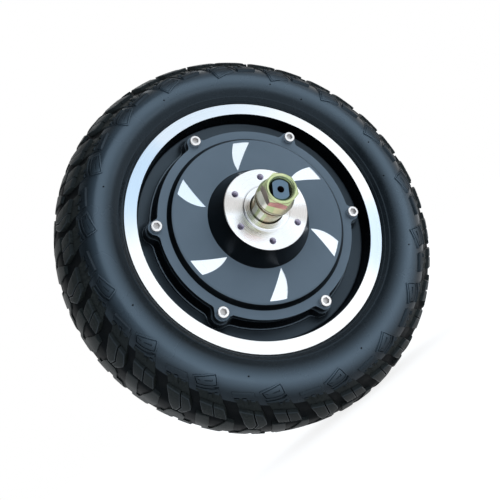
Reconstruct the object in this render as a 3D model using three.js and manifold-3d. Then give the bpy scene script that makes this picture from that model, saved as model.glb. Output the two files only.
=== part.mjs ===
// Hub motor wheel: a knobbly tubeless tyre on a cast wheel that holds a brushless motor round a fixed axle.
// Millimetres, +Z up, origin at the wheel's centre, axle along Y, brake side towards -Y.
// Distances called front, rear, top, end or half run out along the axle from the wheel's centre plane.
import * as THREE from 'three';
import { mergeVertices } from 'three/addons/utils/BufferGeometryUtils.js';
import Module from 'manifold-3d';

const wasm = await Module();
wasm.setup();

// Clearances
const gap = 0.3;
const overrun = 1;
const airGap = 0.8;
const weldTolerance = 0.0003;

// Spin angles of the brake side, in degrees from +X towards +Z
const holePhase = 4;
const screwPhase = 34.1;
const bladePhase = 17.5;
const nutPhase = 15.9;
const flatPhase = 148.9;
const treadPhase = 270.8;
const centreBlockShift = 6.2;
const farTreadShift = 3.1;
const keyPhase = 90;

// Facets round each kind of piece
const wheelFacets = 36;
const innerFacets = 30;
const smallFacets = 18;
const lugFacets = 12;
const screwFacets = 8;
const hexSides = 6;

// Rim and wheel casting
const beadSeatRadius = 82.55;
const rimHalfWidth = 28.3;
const rimFlangeHeight = 5.85;
const rimFlangeThickness = 4;
const rimLipDepth = 2.35;
const beadWidth = 10;
const humpWidth = 0.5;
const wellDrop = 2.95;
const rimWall = 3;
const webFront = 14.3;
const webDish = 1.6;
const recessTaper = 1;
const housingDraft = 2.8;
const webRear = 0;
const channelWidth = 9.7;
const housingWall = 4.9;
const housingHalfWidth = 22;
const lugOffset = 1.5;
const lugRadius = 6.3;
const coverLugRadius = 5.1;
const lugCount = 6;

// Tyre
const sectionHeight = 49.45;
const widestShare = 0.474;
const tyreHalfWidth = 37;
const treadDepth = 4.4;
const lugStandOff = 0.9;
const casingThickness = 6.5;
const beadHeight = 6;
const crownFlatHalf = 5;
const crownShares = [1, 0.88, 0.55, 0];
const linerShares = [1, 0.75, 0];
const lugPairs = 17;
const centreBlockLength = 15;
const centreBlockHalfWidth = 8.5;
const centreBlockDepth = 8.8;
const centreBlockSlant = 24;
const lugSlant = 31;
const longLugLength = 17;
const longLugGroove = 3;
const longLugDepth = 24;
const longLugTaper = 3;
const shortLugLength = 15;
const shortLugGroove = 5;
const shortLugDepth = 14;

// Motor covers
const coverFlangeThickness = 4.9;
const drumHeight = 4.3;
const drumInset = 4.6;
const drumSpread = 3.5;
const drumEdge = 1.6;
const coverWall = 4;
const spigotDepth = 2.2;
const spigotWall = 3;
const bossHeight = 17;
const bossSpread = 6.7;
const bossEdge = 0.5;
const discHoleCircle = 22;
const discHoleRadius = 2.1;
const discHoleDepth = 8;
const discHoleCount = 6;
const discFaceMargin = 5.4;
const collarWall = 3.4;
const collarHeight = 1.3;
const collarEdge = 1;
const sealWidth = 0.9;
const sealDepth = 3;
const gasketWidth = 2.3;
const gasketThickness = 1;

// Bare metal blade marks cut in the cover paint, their radii as shares of the drum top's width
const bladeCount = 6;
const bladeDepth = 0.4;
const bladeOuterShare = 0.939;
const bladeMiddleShare = 0.491;
const bladeTipShare = 0.057;
const bladeLeadAngle = -5;
const bladeTrailAngle = -16.9;
const bladeLeadBow = -0.25;
const bladeTrailBow = -9.9;
const bladeArcSteps = 2;
const bladeSideSteps = 4;

// Cover screws, M4 socket head
const screwShankRadius = 1.9;
const screwHeadRadius = 3.75;
const screwHeadHeight = 3.7;
const screwLength = 12;
const screwSocketRadius = 1.75;
const screwSocketDepth = 2;

// Bearings, 15 x 35 x 11
const bearingBoreRadius = 7.5;
const bearingOuterRadius = 17.5;
const bearingWidth = 11;
const raceWall = 2.9;
const ballCount = 7;
const cageHalfWidth = 1.2;
const cageHalfThickness = 0.7;

// Axle, M14 with 10 mm flats
const axleThreadRadius = 7;
const axleBodyRadius = 11;
const axleShoulderLength = 6.2;
const axleChamfer = 0.7;
const axleFlatHalf = 5;
const axleFlatLead = 6;
const axleEndRecess = 2.2;
const centreHoleRadius = 1.8;
const centreHoleDepth = 5;
const cableBoreRadius = 3.6;
const cableExitRadius = 3;
const grommetLength = 12;
const keyWidth = 5;
const keyHeight = 4;
const keyInset = 2.4;

// Nut stack on each axle end
const sleeveRadius = 10.5;
const sleeveStand = 14.1;
const sleeveStep = 1.2;
const sleeveStepLength = 1.6;
const washerRadius = 12;
const washerThickness = 2.5;
const lockWasherRadius = 12;
const lockWasherThickness = 2.4;
const washerSplit = 2.4;
const nutAcrossFlats = 20;
const nutHeight = 12.7;
const nutFlangeWidth = 2.2;
const nutFlangeEdge = 0.6;
const nutConeHeight = 4.5;
const nutTopInset = 0.5;
const nutChamferHeight = 1.2;
const nutMouthChamfer = 0.6;

// Rotor
const rotorRingWall = 2.7;
const magnetThickness = 2.6;
const magnetInset = 2.4;
const poleCount = 30;
const poleGroove = 1.2;
const poleGrooveDepth = 1.5;

// Stator
const slotCount = 27;
const statorInset = 2;
const toothShare = 0.58;
const toothTipDepth = 2.4;
const slotOpening = 2.6;
const slotDepthShare = 0.28;
const yokeWidth = 7;
const windingInset = 0.5;
const windingOverhang = 4.6;
const windingRound = 1.5;
const carrierInset = 4;
const carrierHoleShare = 0.26;
const carrierHoleCount = 6;
const boardThickness = 1.6;
const boardInset = 2;
const boardSweep = 100;
const boardSteps = 12;

// Valve, on the side away from the brake
const valveAxialShare = 0.45;
const valveFootShare = 0.49;
const valveHoleRadius = 3.4;
const valveFootHeight = 2.4;
const valveStemRadius = 2.6;
const valveInset = 3.3;
const valveCapRadius = 3.7;
const valveCapLength = 8;
const valveCapOverlap = 5;

// Rim sizes, worked inwards from the bead seat
const rimFlangeRadius = beadSeatRadius + rimFlangeHeight;
const rimOpeningRadius = beadSeatRadius - rimLipDepth;
const rimFlangeInside = rimHalfWidth - rimFlangeThickness;
const wellRadius = beadSeatRadius - wellDrop;
const wellHalfWidth = rimFlangeInside - gap - beadWidth - humpWidth;
const wellFloorHalf = wellHalfWidth - wellDrop;
const recessRadius = wellRadius - rimWall;
const housingRadius = recessRadius - channelWidth;
const motorBore = housingRadius - housingWall;
const lugCircle = housingRadius + lugOffset;
const gasketOuterRadius = motorBore + gasketWidth;

// Tyre sizes, worked outwards from the bead seat
const tyreRadius = beadSeatRadius + sectionHeight;
const tyreWidestRadius = beadSeatRadius + widestShare * sectionHeight;

// Cover sizes, worked outwards from the motor housing
const coverFoot = housingHalfWidth + gap;
const coverFlangeTop = coverFoot + coverFlangeThickness;
const coverTop = coverFlangeTop + drumHeight;
const hubFace = coverTop + bossHeight;
const collarTop = hubFace + collarHeight;
const drumRadius = motorBore - drumInset;
const hubFaceRadius = discHoleCircle + discFaceMargin;
const bossTopRadius = hubFaceRadius + bossEdge;
const bossFootRadius = bossTopRadius + bossSpread;
const sealBore = sleeveRadius + sealWidth + 2 * gap;
const collarRadius = sealBore + collarWall;
const bearingOutside = hubFace - sealDepth;
const bearingInside = bearingOutside - bearingWidth;
const innerRaceRadius = bearingBoreRadius + raceWall;
const outerRaceRadius = bearingOuterRadius - raceWall;

// Nut stack and axle lengths, worked outwards from the hub face
const sleeveEnd = hubFace + sleeveStand;
const washerStart = sleeveEnd + gap;
const lockWasherStart = washerStart + washerThickness + gap;
const nutStart = lockWasherStart + lockWasherThickness + gap;
const nutTop = nutStart + nutHeight;
const axleHalfLength = nutTop - axleEndRecess;
const axleFlatStart = sleeveEnd - axleFlatLead;
const axleBodyHalf = bearingInside - gap - axleShoulderLength;

// Motor sizes, worked inwards from the housing's bore
const rotorRingHalf = coverFoot - spigotDepth - gap;
const magnetHalf = rotorRingHalf - magnetInset;
const statorHalf = magnetHalf - statorInset;
const carrierHalf = statorHalf - carrierInset;
const rotorRingRadius = motorBore - gap;
const magnetOuterRadius = inscribed(rotorRingRadius - rotorRingWall, wheelFacets) - gap;
const magnetInnerRadius = magnetOuterRadius - magnetThickness;
const statorRadius = inscribed(magnetInnerRadius, poleCount) - airGap;
const underTipRadius = statorRadius - toothTipDepth;
const yokeRadius = underTipRadius - statorRadius * slotDepthShare;
const toothWidth = (2 * Math.PI * yokeRadius * toothShare) / slotCount;
const coreBore = yokeRadius - yokeWidth;

// Shapes

// Radius of the circle inside a polygon with its corners at a radius.
function inscribed(radius, facets) {
  return radius * Math.cos(Math.PI / facets);
}

function radians(degrees) {
  return THREE.MathUtils.degToRad(degrees);
}

function degrees(angle) {
  return THREE.MathUtils.radToDeg(angle);
}

// A closed three.js geometry as a solid.
function solid(geometry) {
  const bare = geometry.clone();
  bare.deleteAttribute('normal');
  bare.deleteAttribute('uv');
  const merged = mergeVertices(bare, weldTolerance);
  const triVerts = Uint32Array.from(merged.index.array);
  const vertProperties = Float32Array.from(merged.attributes.position.array);
  return new wasm.Manifold(new wasm.Mesh({ numProp: 3, vertProperties, triVerts }));
}

function joined(pieces) {
  return pieces.reduce((sum, piece) => sum.add(piece));
}

function cutBy(piece, cuts) {
  return cuts.reduce((left, cut) => left.subtract(cut), piece);
}

// Area of a closed outline, positive when it runs anticlockwise.
function signedArea(points) {
  return points.reduce((sum, [x, y], i) => {
    const [nextX, nextY] = points[(i + 1) % points.length];
    return sum + (x * nextY - nextX * y) / 2;
  }, 0);
}

// Revolves points of [radius, distance out] round the axle.
function turned(points, facets) {
  const outline = points.map(([radius, out]) => [radius, -out]);
  if (signedArea(outline) < 0) outline.reverse();
  const closed = [...outline, outline[0]].map(([radius, y]) => new THREE.Vector2(radius, y));
  return solid(new THREE.LatheGeometry(closed, facets));
}

function tube(innerRadius, outerRadius, from, to, facets) {
  return turned([[innerRadius, from], [outerRadius, from], [outerRadius, to], [innerRadius, to]], facets);
}

// A straight round bar along the axle's direction, at a radius and angle.
function bar(radius, from, to, facets, circle = 0, angle = 0) {
  const [x, z] = polar(circle, angle);
  const geometry = new THREE.CylinderGeometry(radius, radius, Math.abs(to - from), facets);
  geometry.translate(x, -(from + to) / 2, z);
  return solid(geometry);
}

// Extrudes an outline of [x, z] points between two distances out.
function slab(points, from, to) {
  const shape = new THREE.Shape(points.map(([x, z]) => new THREE.Vector2(x, z)));
  const geometry = new THREE.ExtrudeGeometry(shape, { depth: to - from, bevelEnabled: false });
  geometry.rotateX(Math.PI / 2);
  geometry.translate(0, -from, 0);
  return solid(geometry);
}

function polar(radius, angle) {
  return [radius * Math.cos(radians(angle)), radius * Math.sin(radians(angle))];
}

function arc(radius, from, to, steps) {
  return Array.from({ length: steps + 1 }, (_, i) => polar(radius, from + ((to - from) * i) / steps));
}

function around(count, phase) {
  return Array.from({ length: count }, (_, i) => phase + (360 * i) / count);
}

// Adds the far side's mirror of points that run out from the centre plane.
function bothSides(half) {
  return [...half, ...half.map(([radius, out]) => [radius, -out]).reverse()];
}

// Turns a piece of the brake side round to the other side of the wheel.
function turnedRound(piece) {
  return piece.rotate([0, 0, 180]);
}

// Turns a piece round the axle, from +X towards +Z.
function spun(piece, angle) {
  return piece.rotate([0, -angle, 0]);
}

// Tyre

// Points of a rounded crown that stands on the tyre's widest circle.
function crown(halfWidth, height, shares) {
  return bothSides(shares.map((share) => {
    const out = crownFlatHalf + share * (halfWidth - crownFlatHalf);
    return [tyreWidestRadius + height * Math.sqrt(1 - share * share), out];
  }));
}

// The casing has one facet under each tread block.
function tyreCasing() {
  const facets = lugPairs * 2;
  const beadOutside = rimFlangeInside - gap;
  const beadInside = beadOutside - beadWidth;
  const beadFoot = (beadSeatRadius + gap) / Math.cos(Math.PI / facets);
  const flangeTop = (rimFlangeRadius + gap) / Math.cos(Math.PI / facets);
  const halfWidth = tyreHalfWidth - lugStandOff;
  const height = tyreRadius - treadDepth - tyreWidestRadius;
  const outerLow = [
    [beadFoot, beadInside],
    [beadFoot, beadOutside],
    [flangeTop, beadOutside],
    [flangeTop + gap, rimHalfWidth - gap],
    [flangeTop + beadHeight / 2, (rimHalfWidth + halfWidth) / 2],
    [(flangeTop + tyreWidestRadius) / 2, halfWidth - casingThickness / 4],
  ];
  const innerLow = [beadFoot + beadHeight, beadInside];
  const liner = crown(halfWidth - casingThickness, height - casingThickness, linerShares);
  const outer = [...outerLow, ...crown(halfWidth, height, crownShares)];
  const farSide = bothSides(outerLow).slice(outerLow.length);
  const inner = bothSides([innerLow, ...liner.slice(0, linerShares.length)]).reverse();
  return spun(turned([...outer, ...farSide, ...inner], facets), 180 / facets);
}

// The space that the tread blocks fill, above the casing.
function treadEnvelope() {
  const foot = tyreWidestRadius - gap;
  const height = tyreRadius - tyreWidestRadius;
  const outside = crown(tyreHalfWidth, height, crownShares);
  const sunk = crown(tyreHalfWidth - lugStandOff - overrun, height - treadDepth - overrun, crownShares);
  const envelope = turned(
    [[foot, tyreHalfWidth], ...outside, [foot, -tyreHalfWidth], ...sunk.reverse()], lugPairs * 2);
  return spun(envelope, 90 / lugPairs);
}

// A tread block's prism, with its length round the tyre at the foot and at the crown. It slants round the
// tyre from its true place at a pivot distance out.
function treadPrism(length, footLength, depth, from, to, angle, slant, pivot) {
  const top = tyreRadius + overrun;
  const foot = tyreRadius - depth;
  const outline = [[foot, -footLength / 2], [top, -length / 2], [top, length / 2], [foot, footLength / 2]];
  const shear = new THREE.Matrix4().makeShear(0, 0, 0, Math.tan(radians(slant)), 0, 0);
  const prism = slab(outline, from, to).translate([0, pivot, 0]).transform(shear.elements);
  return spun(prism.translate([0, -pivot, 0]), angle);
}

function tyre() {
  const outside = tyreHalfWidth + overrun;
  const longStart = centreBlockHalfWidth + longLugGroove;
  const shortStart = centreBlockHalfWidth + shortLugGroove;
  const centreBlocks = around(lugPairs * 2, treadPhase + centreBlockShift).map((angle, i) => treadPrism(
    centreBlockLength, centreBlockLength, centreBlockDepth, -centreBlockHalfWidth, centreBlockHalfWidth,
    angle, i % 2 ? centreBlockSlant : -centreBlockSlant, 0));
  const shortLugs = around(lugPairs, treadPhase).map((angle) => treadPrism(
    shortLugLength, shortLugLength, shortLugDepth, shortStart, outside, angle, lugSlant, tyreHalfWidth));
  const longLugs = around(lugPairs, treadPhase + 180 / lugPairs).map((angle) => treadPrism(
    longLugLength, longLugLength - longLugTaper, longLugDepth, longStart, outside, angle, lugSlant,
    tyreHalfWidth));
  const shoulder = joined([...shortLugs, ...longLugs]);
  const farShoulder = spun(turnedRound(shoulder), farTreadShift);
  return tyreCasing().add(treadEnvelope().intersect(joined([...centreBlocks, shoulder, farShoulder])));
}

// Wheel casting
function wheelCasting() {
  const barrel = bothSides([
    [rimOpeningRadius, rimHalfWidth],
    [rimFlangeRadius, rimHalfWidth],
    [rimFlangeRadius, rimFlangeInside],
    [beadSeatRadius, rimFlangeInside],
    [beadSeatRadius, wellHalfWidth],
    [wellRadius, wellFloorHalf],
  ]);
  const body = turned([
    ...barrel,
    [recessRadius, webRear],
    [housingRadius, webRear],
    [housingRadius, -housingHalfWidth],
    [motorBore - overrun, -housingHalfWidth],
    [motorBore - overrun, housingHalfWidth],
    [housingRadius, housingHalfWidth],
    [housingRadius + housingDraft, webFront],
    [rimOpeningRadius - recessTaper, webFront + webDish],
  ], wheelFacets);
  const lug = bar(lugRadius, webRear, housingHalfWidth, lugFacets, lugCircle, screwPhase);
  const hole = bar(screwShankRadius + gap, housingHalfWidth - screwLength, housingHalfWidth + overrun,
    screwFacets, lugCircle, screwPhase);
  const sixFold = (piece) => around(lugCount, 0).flatMap((angle) => {
    const one = spun(piece, angle);
    return [one, turnedRound(one)];
  });
  const rebate = housingHalfWidth - gasketThickness - gap;
  const motorSpace = turned(bothSides([
    [0, housingHalfWidth + overrun],
    [gasketOuterRadius + gap, housingHalfWidth + overrun],
    [gasketOuterRadius + gap, rebate],
    [motorBore, rebate],
  ]), wheelFacets);
  return cutBy(joined([body, ...sixFold(lug)]), [motorSpace, ...sixFold(hole), valveHole()]);
}

// Motor covers
function drumCircle(share) {
  return bossFootRadius + share * (drumRadius - bossFootRadius);
}

// A bowed side of a blade mark, through its middle point.
function bowed(start, middle, end) {
  const control = [0, 1].map((i) => 2 * middle[i] - (start[i] + end[i]) / 2);
  const curve = new THREE.QuadraticBezierCurve(
    new THREE.Vector2(...start), new THREE.Vector2(...control), new THREE.Vector2(...end));
  return curve.getPoints(bladeSideSteps).map((point) => [point.x, point.y]);
}

function bladeOutline() {
  const wide = arc(drumCircle(bladeOuterShare), bladeTrailAngle, bladeLeadAngle, bladeArcSteps);
  const tip = polar(drumCircle(bladeTipShare), 0);
  const lead = bowed(wide.at(-1), polar(drumCircle(bladeMiddleShare), bladeLeadBow), tip);
  const trail = bowed(tip, polar(drumCircle(bladeMiddleShare), bladeTrailBow), wide[0]);
  return [...wide, ...lead.slice(1), ...trail.slice(1, -1)];
}

function cover(discMount) {
  const inside = coverTop - coverWall;
  const spigotRadius = motorBore - gap;
  const spigotInner = spigotRadius - spigotWall;
  const spigotEnd = coverFoot - spigotDepth;
  const seatRadius = bearingOuterRadius + gap;
  const body = turned([
    [sealBore, bearingOutside + gap],
    [sealBore, collarTop],
    [collarRadius - collarEdge, collarTop],
    [collarRadius, collarTop - collarEdge],
    [collarRadius, hubFace],
    [hubFaceRadius, hubFace],
    [bossTopRadius, hubFace - bossEdge],
    [bossFootRadius, coverTop],
    [drumRadius - drumEdge / 2, coverTop],
    [drumRadius + drumEdge / 3, coverTop - drumEdge],
    [drumRadius + drumSpread, coverFlangeTop],
    [housingRadius, coverFlangeTop],
    [housingRadius, coverFoot],
    [spigotRadius, coverFoot],
    [spigotRadius, spigotEnd],
    [spigotInner, spigotEnd],
    [spigotInner - coverWall / 2, inside],
    [bossFootRadius - coverWall, inside],
    [(seatRadius + bossFootRadius) / 2, bearingInside - gap],
    [seatRadius, bearingInside - gap],
    [seatRadius, bearingOutside + gap],
  ], wheelFacets);
  const lug = bar(coverLugRadius, coverFoot, coverFlangeTop, lugFacets, lugCircle, screwPhase);
  const screwHole = bar(screwShankRadius + gap, coverFoot - overrun, coverFlangeTop + overrun,
    screwFacets, lugCircle, screwPhase);
  const pocket = slab(bladeOutline(), coverTop - bladeDepth, coverTop + overrun);
  const discHoles = around(discMount ? discHoleCount : 0, holePhase).map((angle) => bar(
    discHoleRadius, hubFace - discHoleDepth, hubFace + overrun, screwFacets, discHoleCircle, angle));
  return cutBy(joined([body, ...around(lugCount, 0).map((angle) => spun(lug, angle))]), [
    ...around(lugCount, 0).map((angle) => spun(screwHole, angle)),
    ...around(bladeCount, bladePhase).map((angle) => spun(pocket, angle)),
    ...discHoles,
  ]);
}

function coverScrew() {
  const seat = coverFlangeTop + gap;
  const top = seat + screwHeadHeight;
  const head = bar(screwHeadRadius, seat, top, smallFacets / 2, lugCircle);
  const shank = bar(screwShankRadius, housingHalfWidth - screwLength + gap, (seat + top) / 2,
    screwFacets, lugCircle);
  const socket = bar(screwSocketRadius, top - screwSocketDepth, top + overrun, hexSides, lugCircle);
  return spun(head.add(shank).subtract(socket), screwPhase);
}

function gasket() {
  const start = housingHalfWidth - gasketThickness;
  return tube(motorBore, gasketOuterRadius, start, housingHalfWidth, wheelFacets);
}

function dustSeal() {
  return tube(sleeveRadius + gap, sealBore - gap, bearingOutside + 2 * gap, collarTop - gap, smallFacets);
}

// Bearings
function race(innerRadius, outerRadius) {
  return tube(innerRadius, outerRadius, bearingInside, bearingOutside, smallFacets);
}

function ballRing() {
  const circle = (innerRaceRadius + outerRaceRadius) / 2;
  const middle = (bearingInside + bearingOutside) / 2;
  const cage = tube(circle - cageHalfThickness, circle + cageHalfThickness,
    middle - cageHalfWidth, middle + cageHalfWidth, smallFacets);
  const ball = new THREE.IcosahedronGeometry((outerRaceRadius - innerRaceRadius) / 2 - gap);
  ball.translate(circle, -middle, 0);
  const balls = around(ballCount, 0).map((angle) => spun(solid(ball), angle));
  return joined([cage, ...balls]);
}

// Axle
function axleShaft() {
  const shoulderRadius = innerRaceRadius - gap;
  const seatRadius = bearingBoreRadius - gap;
  const shaft = turned(bothSides([
    [0, axleHalfLength],
    [axleThreadRadius - axleChamfer, axleHalfLength],
    [axleThreadRadius, axleHalfLength - axleChamfer],
    [axleThreadRadius, bearingOutside],
    [seatRadius, bearingOutside],
    [seatRadius, bearingInside - gap],
    [shoulderRadius, bearingInside - gap],
    [shoulderRadius, axleBodyHalf],
    [axleBodyRadius, axleBodyHalf],
  ]), smallFacets);
  const cutLength = axleHalfLength - axleFlatStart + overrun;
  const flatCut = new THREE.BoxGeometry(2 * axleBodyRadius, cutLength, 2 * axleBodyRadius);
  flatCut.translate(axleFlatHalf + axleBodyRadius, -axleFlatStart - cutLength / 2, 0);
  const flats = [0, 180].flatMap((face) => {
    const cut = spun(solid(flatCut), flatPhase + face);
    return [cut, cut.mirror([0, 1, 0])];
  });
  const centreHole = bar(centreHoleRadius, axleHalfLength - centreHoleDepth, axleHalfLength + overrun,
    screwFacets);
  return cutBy(shaft, [...flats, centreHole, cableWay(), keyBlock(gap)]);
}

// The cable runs in from the far end of the axle and out into the motor between its body and the stator.
function cableWay() {
  const exitAxial = axleBodyHalf - 2 * cableExitRadius;
  const bore = bar(cableBoreRadius, -axleHalfLength - overrun, cableExitRadius - exitAxial, smallFacets);
  const exitLength = axleBodyRadius + overrun;
  const exit = new THREE.CylinderGeometry(cableExitRadius, cableExitRadius, exitLength, screwFacets);
  exit.rotateX(Math.PI / 2);
  exit.translate(0, exitAxial, exitLength / 2);
  return bore.add(solid(exit));
}

// The key stands half in the axle and half in the stator carrier.
function keyBlock(clearance) {
  const length = 2 * (carrierHalf - keyInset);
  const key = new THREE.BoxGeometry(
    keyHeight + 2 * clearance, length + 2 * clearance, keyWidth + 2 * clearance);
  key.translate(axleBodyRadius, 0, 0);
  return spun(solid(key), keyPhase);
}

function cableGrommet() {
  return bar(cableBoreRadius - gap, -axleHalfLength, grommetLength - axleHalfLength, smallFacets);
}

// Nut stack
function spacerSleeve() {
  const bore = axleThreadRadius + gap;
  const stepStart = sleeveEnd - sleeveStepLength;
  return turned([
    [bore, bearingOutside + gap],
    [sleeveRadius, bearingOutside + gap],
    [sleeveRadius, stepStart - sleeveStepLength],
    [sleeveRadius + sleeveStep, stepStart],
    [sleeveRadius + sleeveStep, sleeveEnd],
    [bore, sleeveEnd],
  ], smallFacets);
}

function flatWasher() {
  return tube(axleThreadRadius + gap, washerRadius, washerStart, washerStart + washerThickness, smallFacets);
}

function lockWasher() {
  const end = lockWasherStart + lockWasherThickness;
  const ring = tube(axleThreadRadius + gap, lockWasherRadius, lockWasherStart, end, smallFacets);
  const split = new THREE.BoxGeometry(lockWasherRadius, 2 * lockWasherThickness, washerSplit);
  split.translate(lockWasherRadius, -(lockWasherStart + end) / 2, 0);
  return ring.subtract(solid(split));
}

// A hexagon with a coned top edge, whose corners overhang the cone of a round flange.
function axleNut() {
  const bore = axleThreadRadius + gap;
  const mouthRadius = bore + nutMouthChamfer;
  const edge = nutStart + nutFlangeEdge;
  const coneTop = edge + nutConeHeight;
  const cornerRadius = nutAcrossFlats / Math.sqrt(3);
  const coneRadius = cornerRadius + overrun;
  const topRadius = nutAcrossFlats / 2 - nutTopInset;
  const coneDrop = nutChamferHeight * (coneRadius - topRadius) / (cornerRadius - topRadius);
  const hexagon = around(hexSides, nutPhase).map((angle) => polar(cornerRadius, angle));
  const cone = turned([
    [0, nutStart],
    [coneRadius, nutStart],
    [coneRadius, nutTop - coneDrop],
    [topRadius, nutTop],
    [0, nutTop],
  ], smallFacets);
  const flange = turned([
    [0, nutStart],
    [nutAcrossFlats / 2 + nutFlangeWidth, nutStart],
    [nutAcrossFlats / 2 + nutFlangeWidth, edge],
    [topRadius, coneTop],
    [topRadius, coneTop + overrun],
    [0, coneTop + overrun],
  ], smallFacets);
  const hole = turned([
    [0, nutStart - overrun],
    [bore, nutStart - overrun],
    [bore, nutTop - nutMouthChamfer],
    [mouthRadius, nutTop],
    [mouthRadius, nutTop + overrun],
    [0, nutTop + overrun],
  ], smallFacets);
  return slab(hexagon, coneTop, nutTop).intersect(cone).add(flange).subtract(hole);
}

// Rotor
function rotorRing() {
  return tube(rotorRingRadius - rotorRingWall, rotorRingRadius, -rotorRingHalf, rotorRingHalf, wheelFacets);
}

// The magnets are bonded into one ring, with a groove between each two poles.
function magnetRing() {
  const ring = tube(magnetInnerRadius, magnetOuterRadius, -magnetHalf, magnetHalf, poleCount);
  const groove = new THREE.BoxGeometry(2 * poleGrooveDepth, 2 * (magnetHalf + overrun), poleGroove);
  groove.translate(magnetInnerRadius, 0, 0);
  return cutBy(ring, around(poleCount, 180 / poleCount).map((angle) => spun(solid(groove), angle)));
}

// Stator
function statorCore() {
  const tipAngle = 360 / slotCount - degrees(slotOpening / statorRadius);
  const neckInner = degrees(toothWidth / 2 / yokeRadius);
  const neckOuter = degrees(toothWidth / 2 / underTipRadius);
  const outline = around(slotCount, 0).flatMap((angle) => [
    polar(yokeRadius, angle - neckInner),
    polar(underTipRadius, angle - neckOuter),
    polar(statorRadius, angle - tipAngle / 2),
    polar(statorRadius, angle + tipAngle / 2),
    polar(underTipRadius, angle + neckOuter),
    polar(yokeRadius, angle + neckInner),
  ]);
  const bore = bar(coreBore, -statorHalf - overrun, statorHalf + overrun, innerFacets);
  return slab(outline, -statorHalf, statorHalf).subtract(bore);
}

// Coils in the slots, joined by the end turns on both sides.
function windings() {
  const inner = yokeRadius + windingInset;
  const outer = underTipRadius - windingInset;
  const start = statorHalf + windingInset;
  const end = start + windingOverhang;
  const endTurns = turned([
    [inner, start],
    [outer, start],
    [outer, end - windingRound],
    [outer - windingRound, end],
    [inner + windingRound, end],
    [inner, end - windingRound],
  ], slotCount);
  const halfSlot = (radius) => (Math.PI * radius) / slotCount - toothWidth / 2 - windingInset;
  const coil = slab([
    [inner, -halfSlot(inner)],
    [outer, -halfSlot(outer)],
    [outer, halfSlot(outer)],
    [inner, halfSlot(inner)],
  ], -start - overrun, start + overrun);
  const coils = around(slotCount, 180 / slotCount).map((angle) => spun(coil, angle));
  return joined([endTurns, turnedRound(endTurns), ...coils]);
}

function statorCarrier() {
  const ring = tube(axleBodyRadius + gap, coreBore - gap, -carrierHalf, carrierHalf, innerFacets);
  const holes = around(carrierHoleCount, 0).map((angle) => bar(
    (coreBore - axleBodyRadius) * carrierHoleShare, -carrierHalf - overrun, carrierHalf + overrun,
    screwFacets, (coreBore + axleBodyRadius) / 2, angle));
  return cutBy(ring, [...holes, keyBlock(gap)]);
}

// The sensor board lies against the end turns on the cable side.
function sensorBoard() {
  const outer = arc(underTipRadius - boardInset, 0, boardSweep, boardSteps);
  const inner = arc(yokeRadius + boardInset, boardSweep, 0, boardSteps);
  const start = -(statorHalf + windingInset + windingOverhang + gap);
  return slab([...outer, ...inner], start - boardThickness, start);
}

// Valve, halfway between two screws of the rear cover
const valvePhase = 180 - screwPhase - 180 / lugCount;
const valveAxial = wellFloorHalf * valveAxialShare;
const valveCircle = (housingRadius + recessRadius) / 2;

// A bar that stands out from the axle along +X, at the valve's place along the axle.
function radialBar(radius, from, to) {
  const geometry = new THREE.CylinderGeometry(radius, radius, to - from, lugFacets);
  geometry.rotateZ(-Math.PI / 2);
  geometry.translate((from + to) / 2, valveAxial, 0);
  return solid(geometry);
}

function valveHole() {
  return spun(radialBar(valveHoleRadius, recessRadius - overrun, beadSeatRadius + overrun), valvePhase);
}

function valveStem() {
  const footStart = wellRadius + gap;
  const foot = radialBar(wellFloorHalf * valveFootShare, footStart, footStart + valveFootHeight);
  const neck = radialBar(valveHoleRadius - gap, valveCircle, footStart + gap);
  const elbow = new THREE.SphereGeometry(valveHoleRadius, lugFacets, lugFacets / 2);
  elbow.translate(valveCircle, valveAxial, 0);
  const end = rimHalfWidth - valveInset;
  const stem = bar(valveStemRadius, -end, -valveAxial, screwFacets, valveCircle);
  return spun(joined([foot, neck, solid(elbow), stem]), valvePhase);
}

function valveCap() {
  const stemEnd = rimHalfWidth - valveInset;
  const start = stemEnd - valveCapOverlap;
  const cap = bar(valveCapRadius, -start - valveCapLength, -start, screwFacets, valveCircle);
  const socket = bar(valveStemRadius + gap, -stemEnd - gap, overrun - start, screwFacets, valveCircle);
  return spun(cap.subtract(socket), valvePhase);
}

// Materials
const finishes = {
  rubber: { color: 0x23272a, roughness: 0.62, metalness: 0 },
  castBlack: { color: 0x0d0e10, roughness: 0.35, metalness: 0.1 },
  coverBlack: { color: 0x3d464f, roughness: 0.45, metalness: 0.2 },
  stainless: { color: 0xd6d8da, roughness: 0.25, metalness: 1 },
  yellowZinc: { color: 0xc8cf80, roughness: 0.28, metalness: 1 },
  axleSteel: { color: 0x7f9db4, roughness: 0.35, metalness: 1 },
  bearingSteel: { color: 0xb8babd, roughness: 0.3, metalness: 1 },
  magnet: { color: 0x8f9296, roughness: 0.4, metalness: 1 },
  coreSteel: { color: 0x6d6f72, roughness: 0.5, metalness: 1 },
  copper: { color: 0xb4693a, roughness: 0.35, metalness: 1 },
  aluminium: { color: 0xb9bcc0, roughness: 0.4, metalness: 1 },
  board: { color: 0x1f5c38, roughness: 0.5, metalness: 0 },
  blackRubber: { color: 0x121314, roughness: 0.7, metalness: 0 },
  brass: { color: 0xb59a55, roughness: 0.3, metalness: 1 },
};

// Assembly
const wheel = new THREE.Group();

function place(name, piece, finish) {
  const { vertProperties, triVerts } = piece.getMesh();
  const geometry = new THREE.BufferGeometry();
  geometry.setAttribute('position', new THREE.BufferAttribute(vertProperties, 3));
  geometry.setIndex(new THREE.BufferAttribute(triVerts, 1));
  geometry.computeVertexNormals();
  const mesh = new THREE.Mesh(geometry, new THREE.MeshStandardMaterial(finishes[finish]));
  mesh.name = name;
  wheel.add(mesh);
}

function placeBothSides(name, piece, finish) {
  place(`${name}_front`, piece, finish);
  place(`${name}_rear`, turnedRound(piece), finish);
}

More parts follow.
